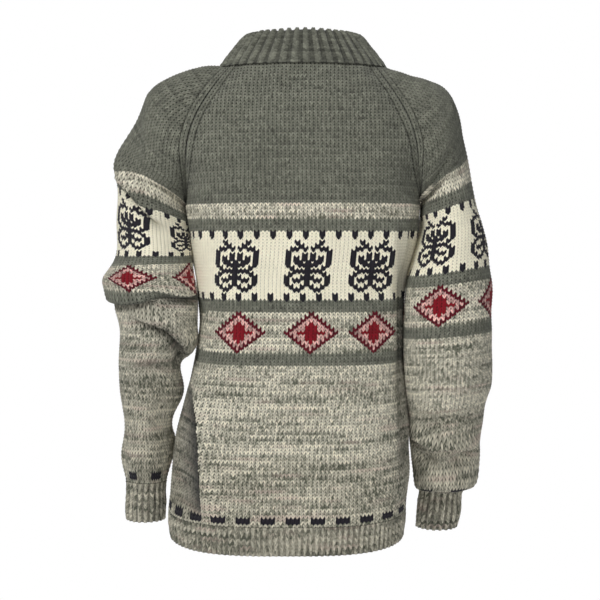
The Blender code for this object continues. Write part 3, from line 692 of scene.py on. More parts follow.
def relief(rows, stitches, ribbed, bump_rows, rng):
    """Height of every grid point over the smooth form, the same at a row's two ends."""
    plain = np.tile(PLAIN_HEIGHTS, (rows, stitches))
    if ribbed:
        pair = np.concatenate([KNIT_RIB_HEIGHTS, PURL_RIB_HEIGHTS], axis=1)
        plain = np.tile(pair, (rows, stitches // 2))
    for row in bump_rows:
        plain[GRID_ROWS * row:GRID_ROWS * (row + 1)] = np.tile(BUMP_ROW_HEIGHTS, (1, stitches))
    plain = np.concatenate([plain, plain[:, :1]], 1)
    plain = np.concatenate([plain, plain[:1]], 0)
    uneven = 1 + UNEVENNESS * rng.standard_normal((rows + 1, stitches + 1))
    uneven[:, -1] = uneven[:, 0]
    uneven = uneven.repeat(GRID_ROWS, 0).repeat(GRID_COLUMNS, 1)
    return plain * uneven[:plain.shape[0], :plain.shape[1]]


def grid_places(stitches, ribbed):
    """Stitch places from the middle of the row, one for each grid column."""
    step = np.arange(GRID_COLUMNS * stitches + 1) / GRID_COLUMNS
    if ribbed:
        pair, inside = np.divmod(step, 2)
        purl = KNIT_SHARE + (inside - 1) * (1 - KNIT_SHARE)
        step = 2 * (pair + np.where(inside < 1, inside * KNIT_SHARE, purl))
    return step - stitches / 2


def climbs(rows, stitches, ribbed):
    """How far each grid point is raised, in rows, to draw the legs of the V."""
    phase = np.arange(GRID_COLUMNS * stitches + 1) % GRID_COLUMNS
    tip = np.abs(phase - GRID_COLUMNS / 2) / (GRID_COLUMNS / 2)
    climb = LEG_CLIMB * (tip - 0.5)
    if ribbed:
        purl = (np.arange(GRID_COLUMNS * stitches + 1) // GRID_COLUMNS) % 2 == 1
        climb = np.where(purl, LEG_CLIMB / 2, climb)
    line = np.arange(GRID_ROWS * rows + 1)
    ends = np.clip(np.minimum(line, GRID_ROWS * rows - line) / GRID_ROWS, 0, 1)
    return climb[None, :] * ends[:, None]


# %% [markdown]
# ## From a grid to a closed piece of cloth
# The stitches are the outside. The inside hardly shows, so it gets one face for two stitches, a
# wall's thickness in. The rim is the outer grid's edge, extruded and snapped to the inner grid's
# edge. Merging the doubles closes the piece, and also closes sleeves round the arm.

# %% Small steps that every piece takes
def put_in_scene(name, data):
    """A new object for a mesh, a lamp or a camera."""
    thing = bpy.data.objects.new(name, data)
    bpy.context.scene.collection.objects.link(thing)
    return thing


def as_mesh(name, shape):
    """The mesh of a bmesh, which is freed."""
    mesh = bpy.data.meshes.new(name)
    shape.to_mesh(mesh)
    shape.free()
    return mesh


def read_whole(items, name):
    """A whole-number property of every vertex, corner or face."""
    values = np.zeros(len(items), np.int32)
    items.foreach_get(name, values)
    return values


# %% Outside, inside and rim
INNER_STITCHES = 2           # stitches across that share one face of the inside


def stitch_grid(shape, rows, stitches):
    """Add a flat grid with all the small faces of a piece's stitches."""
    bmesh.ops.create_grid(
        shape, x_segments=GRID_COLUMNS * stitches, y_segments=GRID_ROWS * rows, size=1)


def stitch_numbers(rows, stitches):
    """Row and column of every point of both grids, counted in stitches."""
    outer = np.mgrid[0:GRID_ROWS * rows + 1, 0:GRID_COLUMNS * stitches + 1].reshape(2, -1).T
    inner = np.mgrid[0:rows + 1, 0:stitches // INNER_STITCHES + 1].reshape(2, -1).T
    return np.concatenate([outer / (GRID_ROWS, GRID_COLUMNS), inner * (1, INNER_STITCHES)])


def joined_grids(rows, stitches, round_rows):
    """A stitch grid and a plain inner grid, joined by a rim except where rows close on themselves."""
    shape = bmesh.new()
    stitch_grid(shape, rows, stitches)
    outer_count = len(shape.verts)
    inner_width = stitches // INNER_STITCHES + 1
    bmesh.ops.create_grid(shape, x_segments=inner_width - 1, y_segments=rows, size=1)
    place = shape.verts.layers.int.new("place")
    for number, vert in enumerate(shape.verts):
        vert[place] = number
    width = GRID_COLUMNS * stitches + 1

    def needs_rim(edge):
        first, last = sorted(vert[place] for vert in edge.verts)
        upright = last - first == width and first % width in (0, width - 1)
        closed = upright and last // width <= GRID_ROWS * round_rows
        return edge.is_boundary and first < outer_count and not closed

    rim = [edge for edge in shape.edges if needs_rim(edge)]
    made = bmesh.ops.extrude_edge_only(shape, edges=rim)
    for vert in (item for item in made["geom"] if isinstance(item, bmesh.types.BMVert)):
        line, column = divmod(vert[place], width)
        inner_line = round(line / GRID_ROWS)
        inner_column = round(column / (GRID_COLUMNS * INNER_STITCHES))
        vert[place] = outer_count + inner_line * inner_width + inner_column
    return shape, outer_count


# %% A flat map for baking
BAKE_EDGE = 0.006            # empty border between the three islands of the bake map
BAKE_OUTER_TOP = 0.80        # the outside takes the map up to here
BAKE_INNER_TOP = 0.95        # the inside up to here, and the rim the rest
WALK_END = 2                 # stitches near the walk's start, which is also its end


def rim_walk(numbers, rows, stitches):
    """Distance of edge points along the rim, counted in stitches from the first corner."""
    row, column = numbers[:, 0], numbers[:, 1]
    walk = np.where(row <= 0, column, 0.0)
    walk = np.where(column >= stitches, stitches + row, walk)
    walk = np.where((row >= rows) & (column < stitches), 2 * stitches + rows - column, walk)
    return np.where((column <= 0) & (row > 0) & (row < rows), 2 * (stitches + rows) - row, walk)


def bake_places(numbers, is_inner, face_of_corner, rows, stitches):
    """Corners' places on the bake map: the outside, the inside and the rim side by side."""
    flat = np.zeros((len(numbers), 2))
    faces = face_of_corner.max() + 1
    share = np.bincount(face_of_corner, is_inner, faces) / np.bincount(face_of_corner)
    share = share[face_of_corner]
    flat[:, 0] = BAKE_EDGE + (1 - 2 * BAKE_EDGE) * numbers[:, 1] / stitches
    up = numbers[:, 0] / rows
    flat[:, 1] = BAKE_EDGE + (BAKE_OUTER_TOP - 2 * BAKE_EDGE) * up
    inside = share == 1
    flat[inside, 1] = BAKE_OUTER_TOP + (BAKE_INNER_TOP - BAKE_OUTER_TOP - BAKE_EDGE) * up[inside]
    rim = (share > 0) & (share < 1)
    whole = 2 * (stitches + rows)
    walk = rim_walk(numbers, rows, stitches)
    highest = np.zeros(faces)
    np.maximum.at(highest, face_of_corner, walk)
    wraps = (highest[face_of_corner] > whole - WALK_END) & (walk < WALK_END)
    walk = np.where(wraps, whole, walk)
    flat[rim, 0] = BAKE_EDGE + (1 - 2 * BAKE_EDGE) * walk[rim] / whole
    rim_height = 1 - BAKE_INNER_TOP - 2 * BAKE_EDGE
    flat[rim, 1] = BAKE_INNER_TOP + BAKE_EDGE + rim_height * is_inner[rim]
    return flat


# %% Build a piece
SAME_POINT = 0.00001         # vertices nearer than this are merged


def knit_piece(name, outer, inner, yarns, round_rows):
    """A closed piece of knitting, whose lowest rows may close on themselves round an arm."""
    rows, stitches = yarns.shape[0] // GRID_ROWS, yarns.shape[1] // GRID_COLUMNS
    if round_rows:
        outer[:GRID_ROWS * round_rows + 1, -1] = outer[:GRID_ROWS * round_rows + 1, 0]
        inner[:round_rows + 1, -1] = inner[:round_rows + 1, 0]
    shape, outer_count = joined_grids(rows, stitches, round_rows)
    mesh = as_mesh(name, shape)
    place = read_whole(mesh.attributes["place"].data, "value")
    mesh.attributes.remove(mesh.attributes["place"])
    points = np.concatenate([outer.reshape(-1, 3), inner.reshape(-1, 3)])[place]
    mesh.vertices.foreach_set("co", points.astype(np.float32).ravel())
    corner_place = place[read_whole(mesh.loops, "vertex_index")]
    numbers = stitch_numbers(rows, stitches)[corner_place]
    sizes = read_whole(mesh.polygons, "loop_total")
    face_of_corner = np.repeat(np.arange(len(sizes)), sizes)
    bake = bake_places(numbers, corner_place >= outer_count, face_of_corner, rows, stitches)
    return finished_piece(name, mesh, numbers, bake, face_of_corner, yarns)


def finished_piece(name, mesh, numbers, bake, face_of_corner, yarns):
    """The piece with its two maps and its yarn colours, merged, facing outwards and in the scene."""
    totals = [np.bincount(face_of_corner, number) for number in numbers.T]
    middles = np.stack(totals, 1) / np.bincount(face_of_corner)[:, None]
    cell = np.floor(middles * (GRID_ROWS, GRID_COLUMNS)).astype(int)
    cell = np.clip(cell, 0, np.array(yarns.shape[:2]) - 1)
    colour = yarns[cell[:, 0], cell[:, 1]][face_of_corner]
    for map_name, values in (("stitches", numbers[:, ::-1]), ("OFBake", bake)):
        mesh.uv_layers.new(name=map_name).data.foreach_set("uv", values.astype(np.float32).ravel())
    # the yarn colours carry painted shade of hollows, seams and rib grooves; their alpha sets the
    # painted shade in the stitch gaps
    painted = mesh.color_attributes.new("yarn", "FLOAT_COLOR", "CORNER")
    painted.data.foreach_set("color", colour.astype(np.float32).ravel())
    shape = bmesh.new()
    shape.from_mesh(mesh)
    bmesh.ops.remove_doubles(shape, verts=shape.verts[:], dist=SAME_POINT)
    bmesh.ops.recalc_face_normals(shape, faces=shape.faces[:])
    open_edges = sum(len(edge.link_faces) != 2 for edge in shape.edges)
    shape.to_mesh(mesh)
    shape.free()
    mesh.shade_smooth()
    triangles = sum(face.loop_total - 2 for face in mesh.polygons)
    print(name, triangles, "triangles, edges not shared by two faces:", open_edges)
    return put_in_scene(name, mesh)


# %% [markdown]
# ## Yarns
# The sweater is knitted from a plain sage wool, a marl of cream and dark sage plies, and cream,
# black, crimson, wine and rose for the patterns. In a marl the plies take turns to show, so its
# colour drifts along each row and jumps at the next one. That drift is what makes the soft
# stripes. Each grid cell is painted by itself, and the thick dark yarns swell over their
# neighbours by one cell.

# %% Yarn colours
def linear(red, green, blue):
    """A screen colour from 0 to 255 as the linear light that shaders use."""
    screen = np.array([red, green, blue]) / 255
    return np.where(screen <= 0.04045, screen / 12.92, ((screen + 0.055) / 1.055) ** 2.4)


SAGE, CREAM, BLACK, INK, CRIMSON, WINE, ROSE, PALE_MARL, MARL, LOW_MARL = range(10)
BLACK_WOOL = (linear(28, 25, 33), 0.15, 0.6)
# base colour of each yarn, how much its single stitches vary, and how much painted shade its gaps get
# in the wool shader
YARN_COLOURS = {
    SAGE: (linear(108, 109, 97), 0.24, 1.0),
    CREAM: (linear(246, 240, 216), 0.03, 0.40),
    BLACK: BLACK_WOOL,
    INK: BLACK_WOOL,         # the same wool, worked tightly so that it doesn't swell downwards
    CRIMSON: (linear(126, 10, 26), 0.15, 0.7),
    WINE: (linear(88, 10, 26), 0.20, 0.7),
    ROSE: (linear(196, 156, 148), 0.35, 1.0),
}
PLAIN_WEIGHTS = (0.35, 0.7, 0.4)             # what cell, leg and streak add to that variation
SHADE_RANGE = (0.5, 1.6)
MARL_PLIES = {
    # pale ply, dark ply, share of the dark ply
    PALE_MARL: (linear(228, 222, 202), linear(106, 105, 90), 0.43),
    MARL: (linear(222, 216, 196), linear(96, 98, 84), 0.47),
    LOW_MARL: (linear(212, 206, 186), linear(90, 92, 78), 0.49),
}
MARL_WEIGHTS = (0.15, 0.10, 0.20, 0.14)      # what streak, cloud, leg and cell add to that share
# share of painted shade in the marl's gaps
MARL_GAPS = 1.0
ROSE_TINT = linear(196, 174, 162)            # stray fibres in the marl
ROSE_FROM, ROSE_MOST = 1.0, 0.4              # drift at which they show, and how much at most
STREAK_LENGTH, CLOUD_LENGTH, ROSE_LENGTH = 9, 26, 6              # in half stitches
SPREADING_YARNS = (WINE, INK, BLACK)
# painted shade: brightness left at the bottom of a rib's grooves
COLLAR_GROOVE_SHADE, HEM_GROOVE_SHADE, CUFF_GROOVE_SHADE = 0.50, 0.66, 0.48
RIB_GAPS = 0.25              # how much painted shade a rib's gaps get, against plain knitting
print(len(YARN_COLOURS) + len(MARL_PLIES), "yarns")


# %% Paint with the yarns
def blended(weights, parts):
    """The weighted sum of a few grids."""
    return sum(weight * part for weight, part in zip(weights, parts))


DRIFT_REACH = 3              # how far the smoothing of a drift reaches, in its own lengths


def drift(rows, cells, length, rng):
    """Noise that changes slowly along each row and starts afresh on the next."""
    reach = DRIFT_REACH * length
    weights = np.exp(-np.arange(-reach, reach + 1) ** 2 / (2 * length ** 2))
    noise = rng.standard_normal((rows, cells + 2 * reach))
    smooth = np.stack([np.convolve(row, weights, "valid") for row in noise])
    return smooth / math.sqrt((weights ** 2).sum())


def spread_cells(cells):
    """The cells of a chart, where loops of the thick dark yarns swell over their neighbours."""
    for yarn in SPREADING_YARNS:
        wide = cells == yarn
        wide[:, 1:] |= cells[:, :-1] == yarn
        wide[:, :-1] |= cells[:, 1:] == yarn
        if yarn == BLACK:
            wide[:-1] |= cells[1:] == yarn
        cells = np.where(wide, yarn, cells)
    return cells


def paint_yarns(chart, seed, groove=None):
    """Colour of every grid cell from a chart of yarns, with painted shade in a rib's purl columns; the
    fourth value sets how much painted shade the wool shader puts in its gaps.
    """
    rng = np.random.default_rng(seed)
    rows, stitches = chart.shape

    def over_cells(values):
        return values.repeat(GRID_ROWS, 0).repeat(GRID_COLUMNS * stitches // values.shape[1], 1)

    cells = spread_cells(over_cells(chart))
    colour = np.zeros((*cells.shape, 4))
    fibre = rng.standard_normal(cells.shape)
    legs = 2 * stitches
    leg = over_cells(rng.standard_normal((rows, legs)))
    streak = over_cells(drift(rows, legs, STREAK_LENGTH, rng))
    cloud = over_cells(drift(rows // 2 + 1, legs, CLOUD_LENGTH, rng).repeat(2, 0)[:rows])
    rose = np.clip(over_cells(drift(rows, legs, ROSE_LENGTH, rng)) - ROSE_FROM, 0, 1)
    for yarn, (base, vary, gaps) in YARN_COLOURS.items():
        mask = cells == yarn
        shade = 1 + vary * blended(PLAIN_WEIGHTS, (fibre, leg, streak))
        colour[mask, :3] = base * np.clip(shade, *SHADE_RANGE)[mask][:, None]
        colour[mask, 3] = gaps
    for yarn, (pale, dark, share) in MARL_PLIES.items():
        mask = cells == yarn
        drifting = blended(MARL_WEIGHTS, (streak, cloud, leg, fibre))
        mix = np.clip(share + drifting, 0, 1)[mask][:, None]
        tint = ROSE_MOST * rose[mask][:, None]
        mixed = pale * (1 - mix) + dark * mix
        colour[mask, :3] = mixed * (1 - tint) + ROSE_TINT * tint
        colour[mask, 3] = MARL_GAPS
    # painted shade: the sunken purl columns are darkened, and a rib's gaps get less painted shade
    if groove is not None:
        purl = np.arange(cells.shape[1]) // GRID_COLUMNS % 2 == 1
        colour[:, purl, :3] *= groove
        colour[..., 3] *= RIB_GAPS
    return colour


# %% [markdown]
# ## The patterns, charted
# Knitters work colour patterns from squared charts, one square to a stitch. The bands are plain
# tables of rows, and the two motifs are small traditional ones: a butterfly on cream and a
# diamond with a heart of crimson on marl. Both repeat every 17 stitches. A line of short black
# dashes, two rows tall, closes the pattern over the hem and the cuffs.

# %% Bands and charts
# yarn, top row and bottom row, counted up from the underarm
BANDS = [
    (SAGE, NECK_ROW, 1),
    (PALE_MARL, 1, -4),
    (SAGE, -4, -8),
    (CREAM, -8, -30),
    (SAGE, -30, -34),
    (MARL, -34, -47),
    (SAGE, -47, -51),
    (MARL, -51, -80),
    (LOW_MARL, -80, CUFF_END_ROW),
]
BUTTERFLY = [
    "..#.....#..",
    "...#...#...",
    ".##.#.#.##.",
    "#.........#",
    "#...#.#...#",
    "#.#.#.#.#.#",
    "#.##.#.##.#",
    "#..#####..#",
    ".#...#...#.",
    "..#######..",
    ".#...#...#.",
    "#...###...#",
    "#.##.#.##.#",
    "#....#....#",
    ".#..#.#..#.",
    "..##...##..",
]
HALF_DIAMOND = [
    "......w......",
    ".....wpw.....",
    "....wpppw....",
    "...wpprppw...",
    "..wpprrrppw..",
    ".wppprrrpppw.",
    "wpprrrrrrrppw",
]
DIAMOND = HALF_DIAMOND + HALF_DIAMOND[-2::-1]
MOTIF_YARNS = {"#": BLACK, "r": CRIMSON, "w": WINE, "p": ROSE}
MOTIF_REPEAT = 17
BUTTERFLY_TOP_ROW = -11
DIAMOND_TOP_ROW = -34
DOT_REPEAT = 4
DOT_ROWS = (-9, -10, -29, -30)
# lower row of the dashes, stitches from dash to dash, and stitches in a dash
HEM_DASHES = (HEM_ROW + 1, 6, 3)
CUFF_DASHES = (CUFF_ROW + 1, 10, 4)
DASH_ROWS = 2
print("butterfly:", len(BUTTERFLY), "rows, diamond:", len(DIAMOND), "rows")


def repeats(centre, before, after):
    """Centres of the repeats of a motif, counted in stitches from the middle of the piece."""
    return [centre + MOTIF_REPEAT * step for step in range(-before, after + 1)]


def add_motif(chart, low_row, motif, top_row, centres):
    """Write a motif into a chart round each of its centres."""
    for centre in centres:
        start = round(chart.shape[1] / 2 + centre - len(motif[0]) / 2)
        for down, line in enumerate(motif):
            for column, mark in enumerate(line, start):
                if mark in MOTIF_YARNS and 0 <= column < chart.shape[1]:
                    chart[top_row - 1 - down - low_row, column] = MOTIF_YARNS[mark]


def pattern_chart(low_row, stitches, butterflies, diamonds, dashes):
    """The chart of a panel or sleeve from its lowest row up to the neck."""
    row = np.arange(low_row, NECK_ROW)
    chart = np.zeros((len(row), stitches), int)
    for yarn, top, bottom in BANDS:
        chart[(row < top) & (row >= bottom)] = yarn
    column = np.arange(stitches)
    dot = (column - round(stitches / 2 + butterflies[0])) % DOT_REPEAT == 0
    for dot_row in DOT_ROWS:
        chart[dot_row - low_row, dot] = BLACK
    dash_row, dash_repeat, dash_stitches = dashes
    dash = column % dash_repeat < dash_stitches
    chart[dash_row - low_row:dash_row + DASH_ROWS - low_row, dash] = INK
    add_motif(chart, low_row, BUTTERFLY, BUTTERFLY_TOP_ROW, butterflies)
    add_motif(chart, low_row, DIAMOND, DIAMOND_TOP_ROW, diamonds)
    return chart


# %% [markdown]
# ## Shader maths in plain expressions
# The wool's fine structure, plies that twist round each strand and a fuzz of loose fibres, is
# too small to model. It comes from a few formulas on the stitch map, whose unit is one stitch
# across and one row up. A small class lets them be written as ordinary sums.

# %% Sockets that add and multiply
class Value:
    """A number socket in a material, for use in ordinary expressions."""

    def __init__(self, paint, socket):
        self.paint, self.socket = paint, socket

    def maths(self, operation, *others):
        values = [other.socket if isinstance(other, Value) else other for other in others]
        node = self.paint.node("ShaderNodeMath", {"operation": operation},
                               dict(enumerate([self.socket, *values])))
        return Value(self.paint, node.outputs[0])

    def __add__(self, other):
        return self.maths("ADD", other)

    def __sub__(self, other):
        return self.maths("SUBTRACT", other)

    def __mul__(self, other):
        return self.maths("MULTIPLY", other)

    def __rsub__(self, other):
        return (self * -1) + other

    __radd__ = __add__
    __rmul__ = __mul__


class Paint:
    """The nodes of one material, or of the world."""

    def __init__(self, owner):
        owner.use_nodes = True
        self.tree = owner.node_tree

    def node(self, kind, settings, inputs):
        made = self.tree.nodes.new(kind)
        for key, value in settings.items():
            setattr(made, key, value)
        for key, value in inputs.items():
            self.feed(made.inputs[key], value)
        return made

    def feed(self, socket, value):
        if isinstance(value, Value):
            value = value.socket
        if isinstance(value, bpy.types.NodeSocket):
            self.tree.links.new(value, socket)
        else:
            socket.default_value = value


# %% [markdown]
# ## Wool
# Three things make wool look like wool. The strand is rounded and its plies show as slanting
# ridges, the gaps between strands are dark because little light gets out of them, and short
# fibres scatter light over everything, which the shader's sheen stands for. The roundness and the
# dark gaps are also painted into the base colour, as a painted highlight and painted shade.

# %% Wool material
FUZZ = {"Scale": 620.0, "Detail": 3.0, "Roughness": 0.65}
LEG_SLANT = 0.22             # how far a leg leans, in half stitches, between its foot and its tip
STRAND_ROUNDNESS = 2.6
PLY_TURNS = (7.0, 1.5, 0.9)  # turns of the plies for each stitch across, row up and unit of fuzz
# How much each part of a stitch counts in the wool's height and in its brightness: the round
# strand, the hole between two Vs, the foot where a leg goes under, the plies and the fuzz. In the
# brightness, strand is a painted highlight and hole, foot and all are painted shade.
HEIGHTS = {"strand": 0.55, "hole": 0.8, "ply": 0.25, "fuzz": 0.35}
SHADES = {"strand": 0.42, "hole": 1.9, "foot": 0.35, "all": 0.03, "ply": 0.28, "fuzz": 0.5}
BUMP = {"Strength": 0.6, "Distance": 0.0012}
WOOL_FINISH = {"Specular IOR Level": 0.25, "Sheen Weight": 0.10, "Sheen Roughness": 0.55}
ROUGHNESS, FUZZ_ROUGHNESS = 0.78, 0.2        # and how much the fuzz adds


def wool(name):
    """Wool whose colour comes from the painted yarns and whose plies follow the stitches."""
    material = bpy.data.materials.new(name)
    paint = Paint(material)
    stitch_map = paint.node("ShaderNodeUVMap", {"uv_map": "stitches"}, {})
    split = paint.node("ShaderNodeSeparateXYZ", {}, {0: stitch_map.outputs[0]})
    across, up = Value(paint, split.outputs[0]), Value(paint, split.outputs[1])
    place = paint.node("ShaderNodeTexCoord", {}, {})
    noise = paint.node("ShaderNodeTexNoise", {"noise_dimensions": "3D"},
                       {"Vector": place.outputs["Object"], **FUZZ})
    fuzz = Value(paint, noise.outputs["Fac"])
    side = across.maths("FRACT")
    inside = side.maths("MINIMUM", 1 - side) * 2
    rise = up.maths("FRACT") * 2 - 1
    off_strand = inside + rise * LEG_SLANT - 0.5
    strand = (1 - off_strand * off_strand * STRAND_ROUNDNESS).maths("MAXIMUM", 0.0)
    gap = (1 - inside) * (1 - inside)
    hole = gap * rise * rise
    foot = inside * inside * rise * rise
    turns = across * PLY_TURNS[0] + up * PLY_TURNS[1] + fuzz * PLY_TURNS[2]
    ply = (turns * (2 * math.pi)).maths("SINE") * 0.5 + 0.5
    height = strand * HEIGHTS["strand"] - hole * HEIGHTS["hole"]
    height = height + ply * strand * HEIGHTS["ply"] + fuzz * HEIGHTS["fuzz"]
    bump = paint.node("ShaderNodeBump", {}, {**BUMP, "Height": height})
    yarn = paint.node("ShaderNodeAttribute", {"attribute_name": "yarn"}, {})
    gaps = Value(paint, yarn.outputs["Alpha"])
    # painted highlight on the round strands and painted shade in the holes and under the feet, in the
    # base colour
    depth = strand * SHADES["strand"] - hole * SHADES["hole"] - foot * SHADES["foot"] - SHADES["all"]
    shade = depth * gaps + 1.0 + (ply - 0.5) * SHADES["ply"] + (fuzz - 0.5) * SHADES["fuzz"]
    scaled = paint.node("ShaderNodeVectorMath", {"operation": "SCALE"},
                        {0: yarn.outputs["Color"], "Scale": shade})
    finish = {"Normal": bump.outputs[0], "Base Color": scaled.outputs[0],
              "Roughness": fuzz * FUZZ_ROUGHNESS + ROUGHNESS, **WOOL_FINISH}
    for socket, value in finish.items():
        paint.feed(paint.tree.nodes["Principled BSDF"].inputs[socket], value)
    return material


stocking_wool = wool("stocking wool")
rib_wool = wool("rib wool")
for made in (stocking_wool, rib_wool):
    print(f"{made.name}: {len(made.node_tree.nodes)} nodes")


# %% [markdown]
# ## Dressing the pieces
# Each piece rides on the one body, takes the place of its wall and says how large its cloth is
# when it lies flat. A knitted piece isn't a rectangle, so its flat area is the sum of its rows.

# %% Fit a piece to its wall
def dress(piece, node, material, width, length, area):
    """Give the piece its wool, and tell the frame what it stands for and its flat size."""
    piece.data.materials.append(material)
    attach(piece, "root")
    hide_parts(node)
    print(f"{node}: flat {width * 1000:.0f} x {length * 1000:.0f} mm, {area:.3f} square metres")


# %% Rows, the inside of the wall, and painted shade along the seams
def grid_lines(low_row, rows, lines):
    """The row of every line of a grid, as a column of numbers."""
    return low_row + np.arange(rows * lines + 1)[:, None] / lines


def wall_inside(form, low_row, rows, places, share_of, wall):
    """Points of a piece's inside, a wall's thickness in from its form."""
    places = places[:, ::GRID_COLUMNS * INNER_STITCHES]
    line_row = grid_lines(low_row, rows, 1) + 0 * places
    points, normals = read_form(form, line_row, share_of(line_row, places))
    return points - normals * wall


def raglan_groove(ended, yoke):
    """Grid cells that lie on a decrease line or along the raglan seam, where shade is painted."""
    meets = ended & yoke
    groove = meets[:-1, :-1] | meets[1:, 1:] | meets[:-1, 1:] | meets[1:, :-1]
    groove[:, [0, -1]] |= yoke[:-1, :2]
    return groove


# %% Knit a panel or a sleeve
def knit_panel(node, live, low_row, stitches, chart, seed):
    """A body panel or a sleeve in stocking stitch."""
    rng = np.random.default_rng(seed)
    form = folded_form(node, low_row, NECK_ROW)
    rows = NECK_ROW - low_row
    places = grid_places(stitches, False)[None, :]
    line_row = grid_lines(low_row, rows, GRID_ROWS) + 0 * places
    _, ended = column_shares(form, live, line_row, places, stitches)
    climb = np.where(ended, 0, climbs(rows, stitches, False))
    row_of = np.clip(line_row + climb, low_row, NECK_ROW)

    def share_of(at_rows, at_places):
        return column_shares(form, live, at_rows, at_places, stitches)[0]

    shares = share_of(np.where(ended, line_row, row_of), places)
    points, normals = read_form(form, row_of, shares)
    yoke = line_row > 0
    beside = yoke & (np.abs(places) > stitches / 2 - EDGE_STITCHES)
    height = relief(rows, stitches, False, (), rng) + EDGE_RIDGE * beside
    outer = points + normals * np.where(ended, DECREASE_HEIGHT, height)[..., None]
    inner = wall_inside(form, low_row, rows, places, share_of, WALL)
    # painted shade: darker wool in the folds' hollows, and on the back inside the tuck and beside the
    # right sleeve
    shade = fold_shade(node, row_of, shares)
    if node == "back":
        shade = shade * tuck_shade(row_of, outer) * sleeve_shadow(row_of, outer)
    colours = paint_yarns(chart, seed)
    colours[..., :3] *= shade[:-1, :-1, None]
    # painted shade in the sunken decrease lines and in the raglan seams' groove
    colours[raglan_groove(ended, yoke), :3] *= SEAM_SHADE
    round_rows = 0 if node in ("back", "front") else -low_row
    piece = knit_piece(node + "_knit", outer, inner, colours, round_rows)
    live_widths = 2 * live(form, np.arange(low_row, NECK_ROW) + 0.5)[0] * STITCH_WIDTH
    width, length = stitches * STITCH_WIDTH, rows * ROW_HEIGHT
    dress(piece, node, stocking_wool, width, length, float((live_widths * ROW_HEIGHT).sum()))


# %% Back and front
for seed, node, butterfly, diamond in ((11, "back", 1, 2), (12, "front", 0, 0)):
    motifs = repeats(butterfly, 1, 1), repeats(diamond, 1, 1)
    chart = pattern_chart(HEM_ROW, BODY_STITCHES, *motifs, HEM_DASHES)
    knit_panel(node, body_live, HEM_ROW, BODY_STITCHES, chart, seed)

# %% Sleeves
for seed, node, butterfly, diamond in ((13, "sleeve_left", -6.5, -5.5), (14, "sleeve_right", -5, -2)):
    motifs = repeats(butterfly, 1, 2), repeats(diamond, 1, 2)
    chart = pattern_chart(CUFF_ROW, SLEEVE_STITCHES, *motifs, CUFF_DASHES)
    knit_panel(node, sleeve_live, CUFF_ROW, SLEEVE_STITCHES, chart, seed)


# %% [markdown]
# ## Ribs
# Hem, cuffs and collar are knitted in pairs: one knit column that stands up and one purl column
# that sinks between its neighbours, with painted shade at its bottom. The same grid makes them,
# with the knit columns wider. The hem is worked on finer needles, and a row of purl bumps marks
# where a rib begins.

# %% Hem and cuffs
def knit_rib(node, form_piece, low_row, high_row, stitches, groove, seed):
    """A ribbed edge under a body panel or a sleeve."""
    rng = np.random.default_rng(seed)
    form = folded_form(form_piece, low_row, high_row)
    rows = high_row - low_row
    places = grid_places(stitches, True)[None, :]
    climb = climbs(rows, stitches, True)
    row_of = np.clip(grid_lines(low_row, rows, GRID_ROWS) + climb, low_row, high_row)

    def share_of(at_rows, at_places):
        return at_places / stitches + 0.5 + 0 * at_rows

    points, normals = read_form(form, row_of, share_of(row_of, places))
    outer = points + normals * relief(rows, stitches, True, (rows - 1,), rng)[..., None]
    inner = wall_inside(form, low_row, rows, places, share_of, RIB_WALL)
    colours = paint_yarns(np.full((rows, stitches), LOW_MARL), seed, groove)
    round_rows = rows if form_piece.startswith("sleeve") else 0
    piece = knit_piece(node + "_rib", outer, inner, colours, round_rows)
    width, length = float(arc_lengths(form, low_row)), rows * ROW_HEIGHT
    dress(piece, node, rib_wool, width, length, width * length)


for seed, node, face in ((21, "hem_back", "back"), (22, "hem_front", "front")):
    knit_rib(node, face, HEM_END_ROW, HEM_ROW, HEM_STITCHES, HEM_GROOVE_SHADE, seed)
for seed, node, sleeve in ((23, "cuff_left", "sleeve_left"), (24, "cuff_right", "sleeve_right")):
    knit_rib(node, sleeve, CUFF_END_ROW, CUFF_ROW, CUFF_STITCHES, CUFF_GROOVE_SHADE, seed)

# %% [markdown]
# ## The collar
# The collar is picked up round the neckline, ribbed, folded over and sewn down inside, so it is
# twice as thick and its top is round. Its grid runs up the outside, over the top and down the
# inside in one go, and its two ends meet at the neckline.

# %% Collar profile
COLLAR_TOP_CENTRE = (0.003, -0.010)
COLLAR_TOP_HALF_WIDTH = 0.081
COLLAR_TOP_HALF_DEPTH = 0.062
COLLAR_HEIGHT_BACK = 0.047
COLLAR_HEIGHT_FRONT = 0.055
SEAM_GAP = 0.0003
# share of the height, and distance inwards from the line between neck and rim
COLLAR_PROFILE = [(-0.06, -0.0035), (0.35, -0.003), (0.7, -0.0015), (0.93, 0.0005), (1, 0.004),
                  (0.93, 0.0075), (0.5, 0.008), (0, 0.008)]
COLLAR_SIDE_DROP = 0.005     # how much lower the rim is at the wearer's sides
COLLAR_ROWS = 26
COLLAR_RELIEF = 1.5          # how much deeper its thick ribs are than the hem's
COLLAR_FORM_COLUMNS = 401
COLLAR_RISE = (COLLAR_HEIGHT_BACK + COLLAR_HEIGHT_FRONT) / 2
COLLAR_LEAN = (COLLAR_HEIGHT_BACK - COLLAR_HEIGHT_FRONT) / 2
print(f"collar: {COLLAR_HEIGHT_BACK:.3f} m high at the back, {COLLAR_HEIGHT_FRONT:.3f} m at the front")


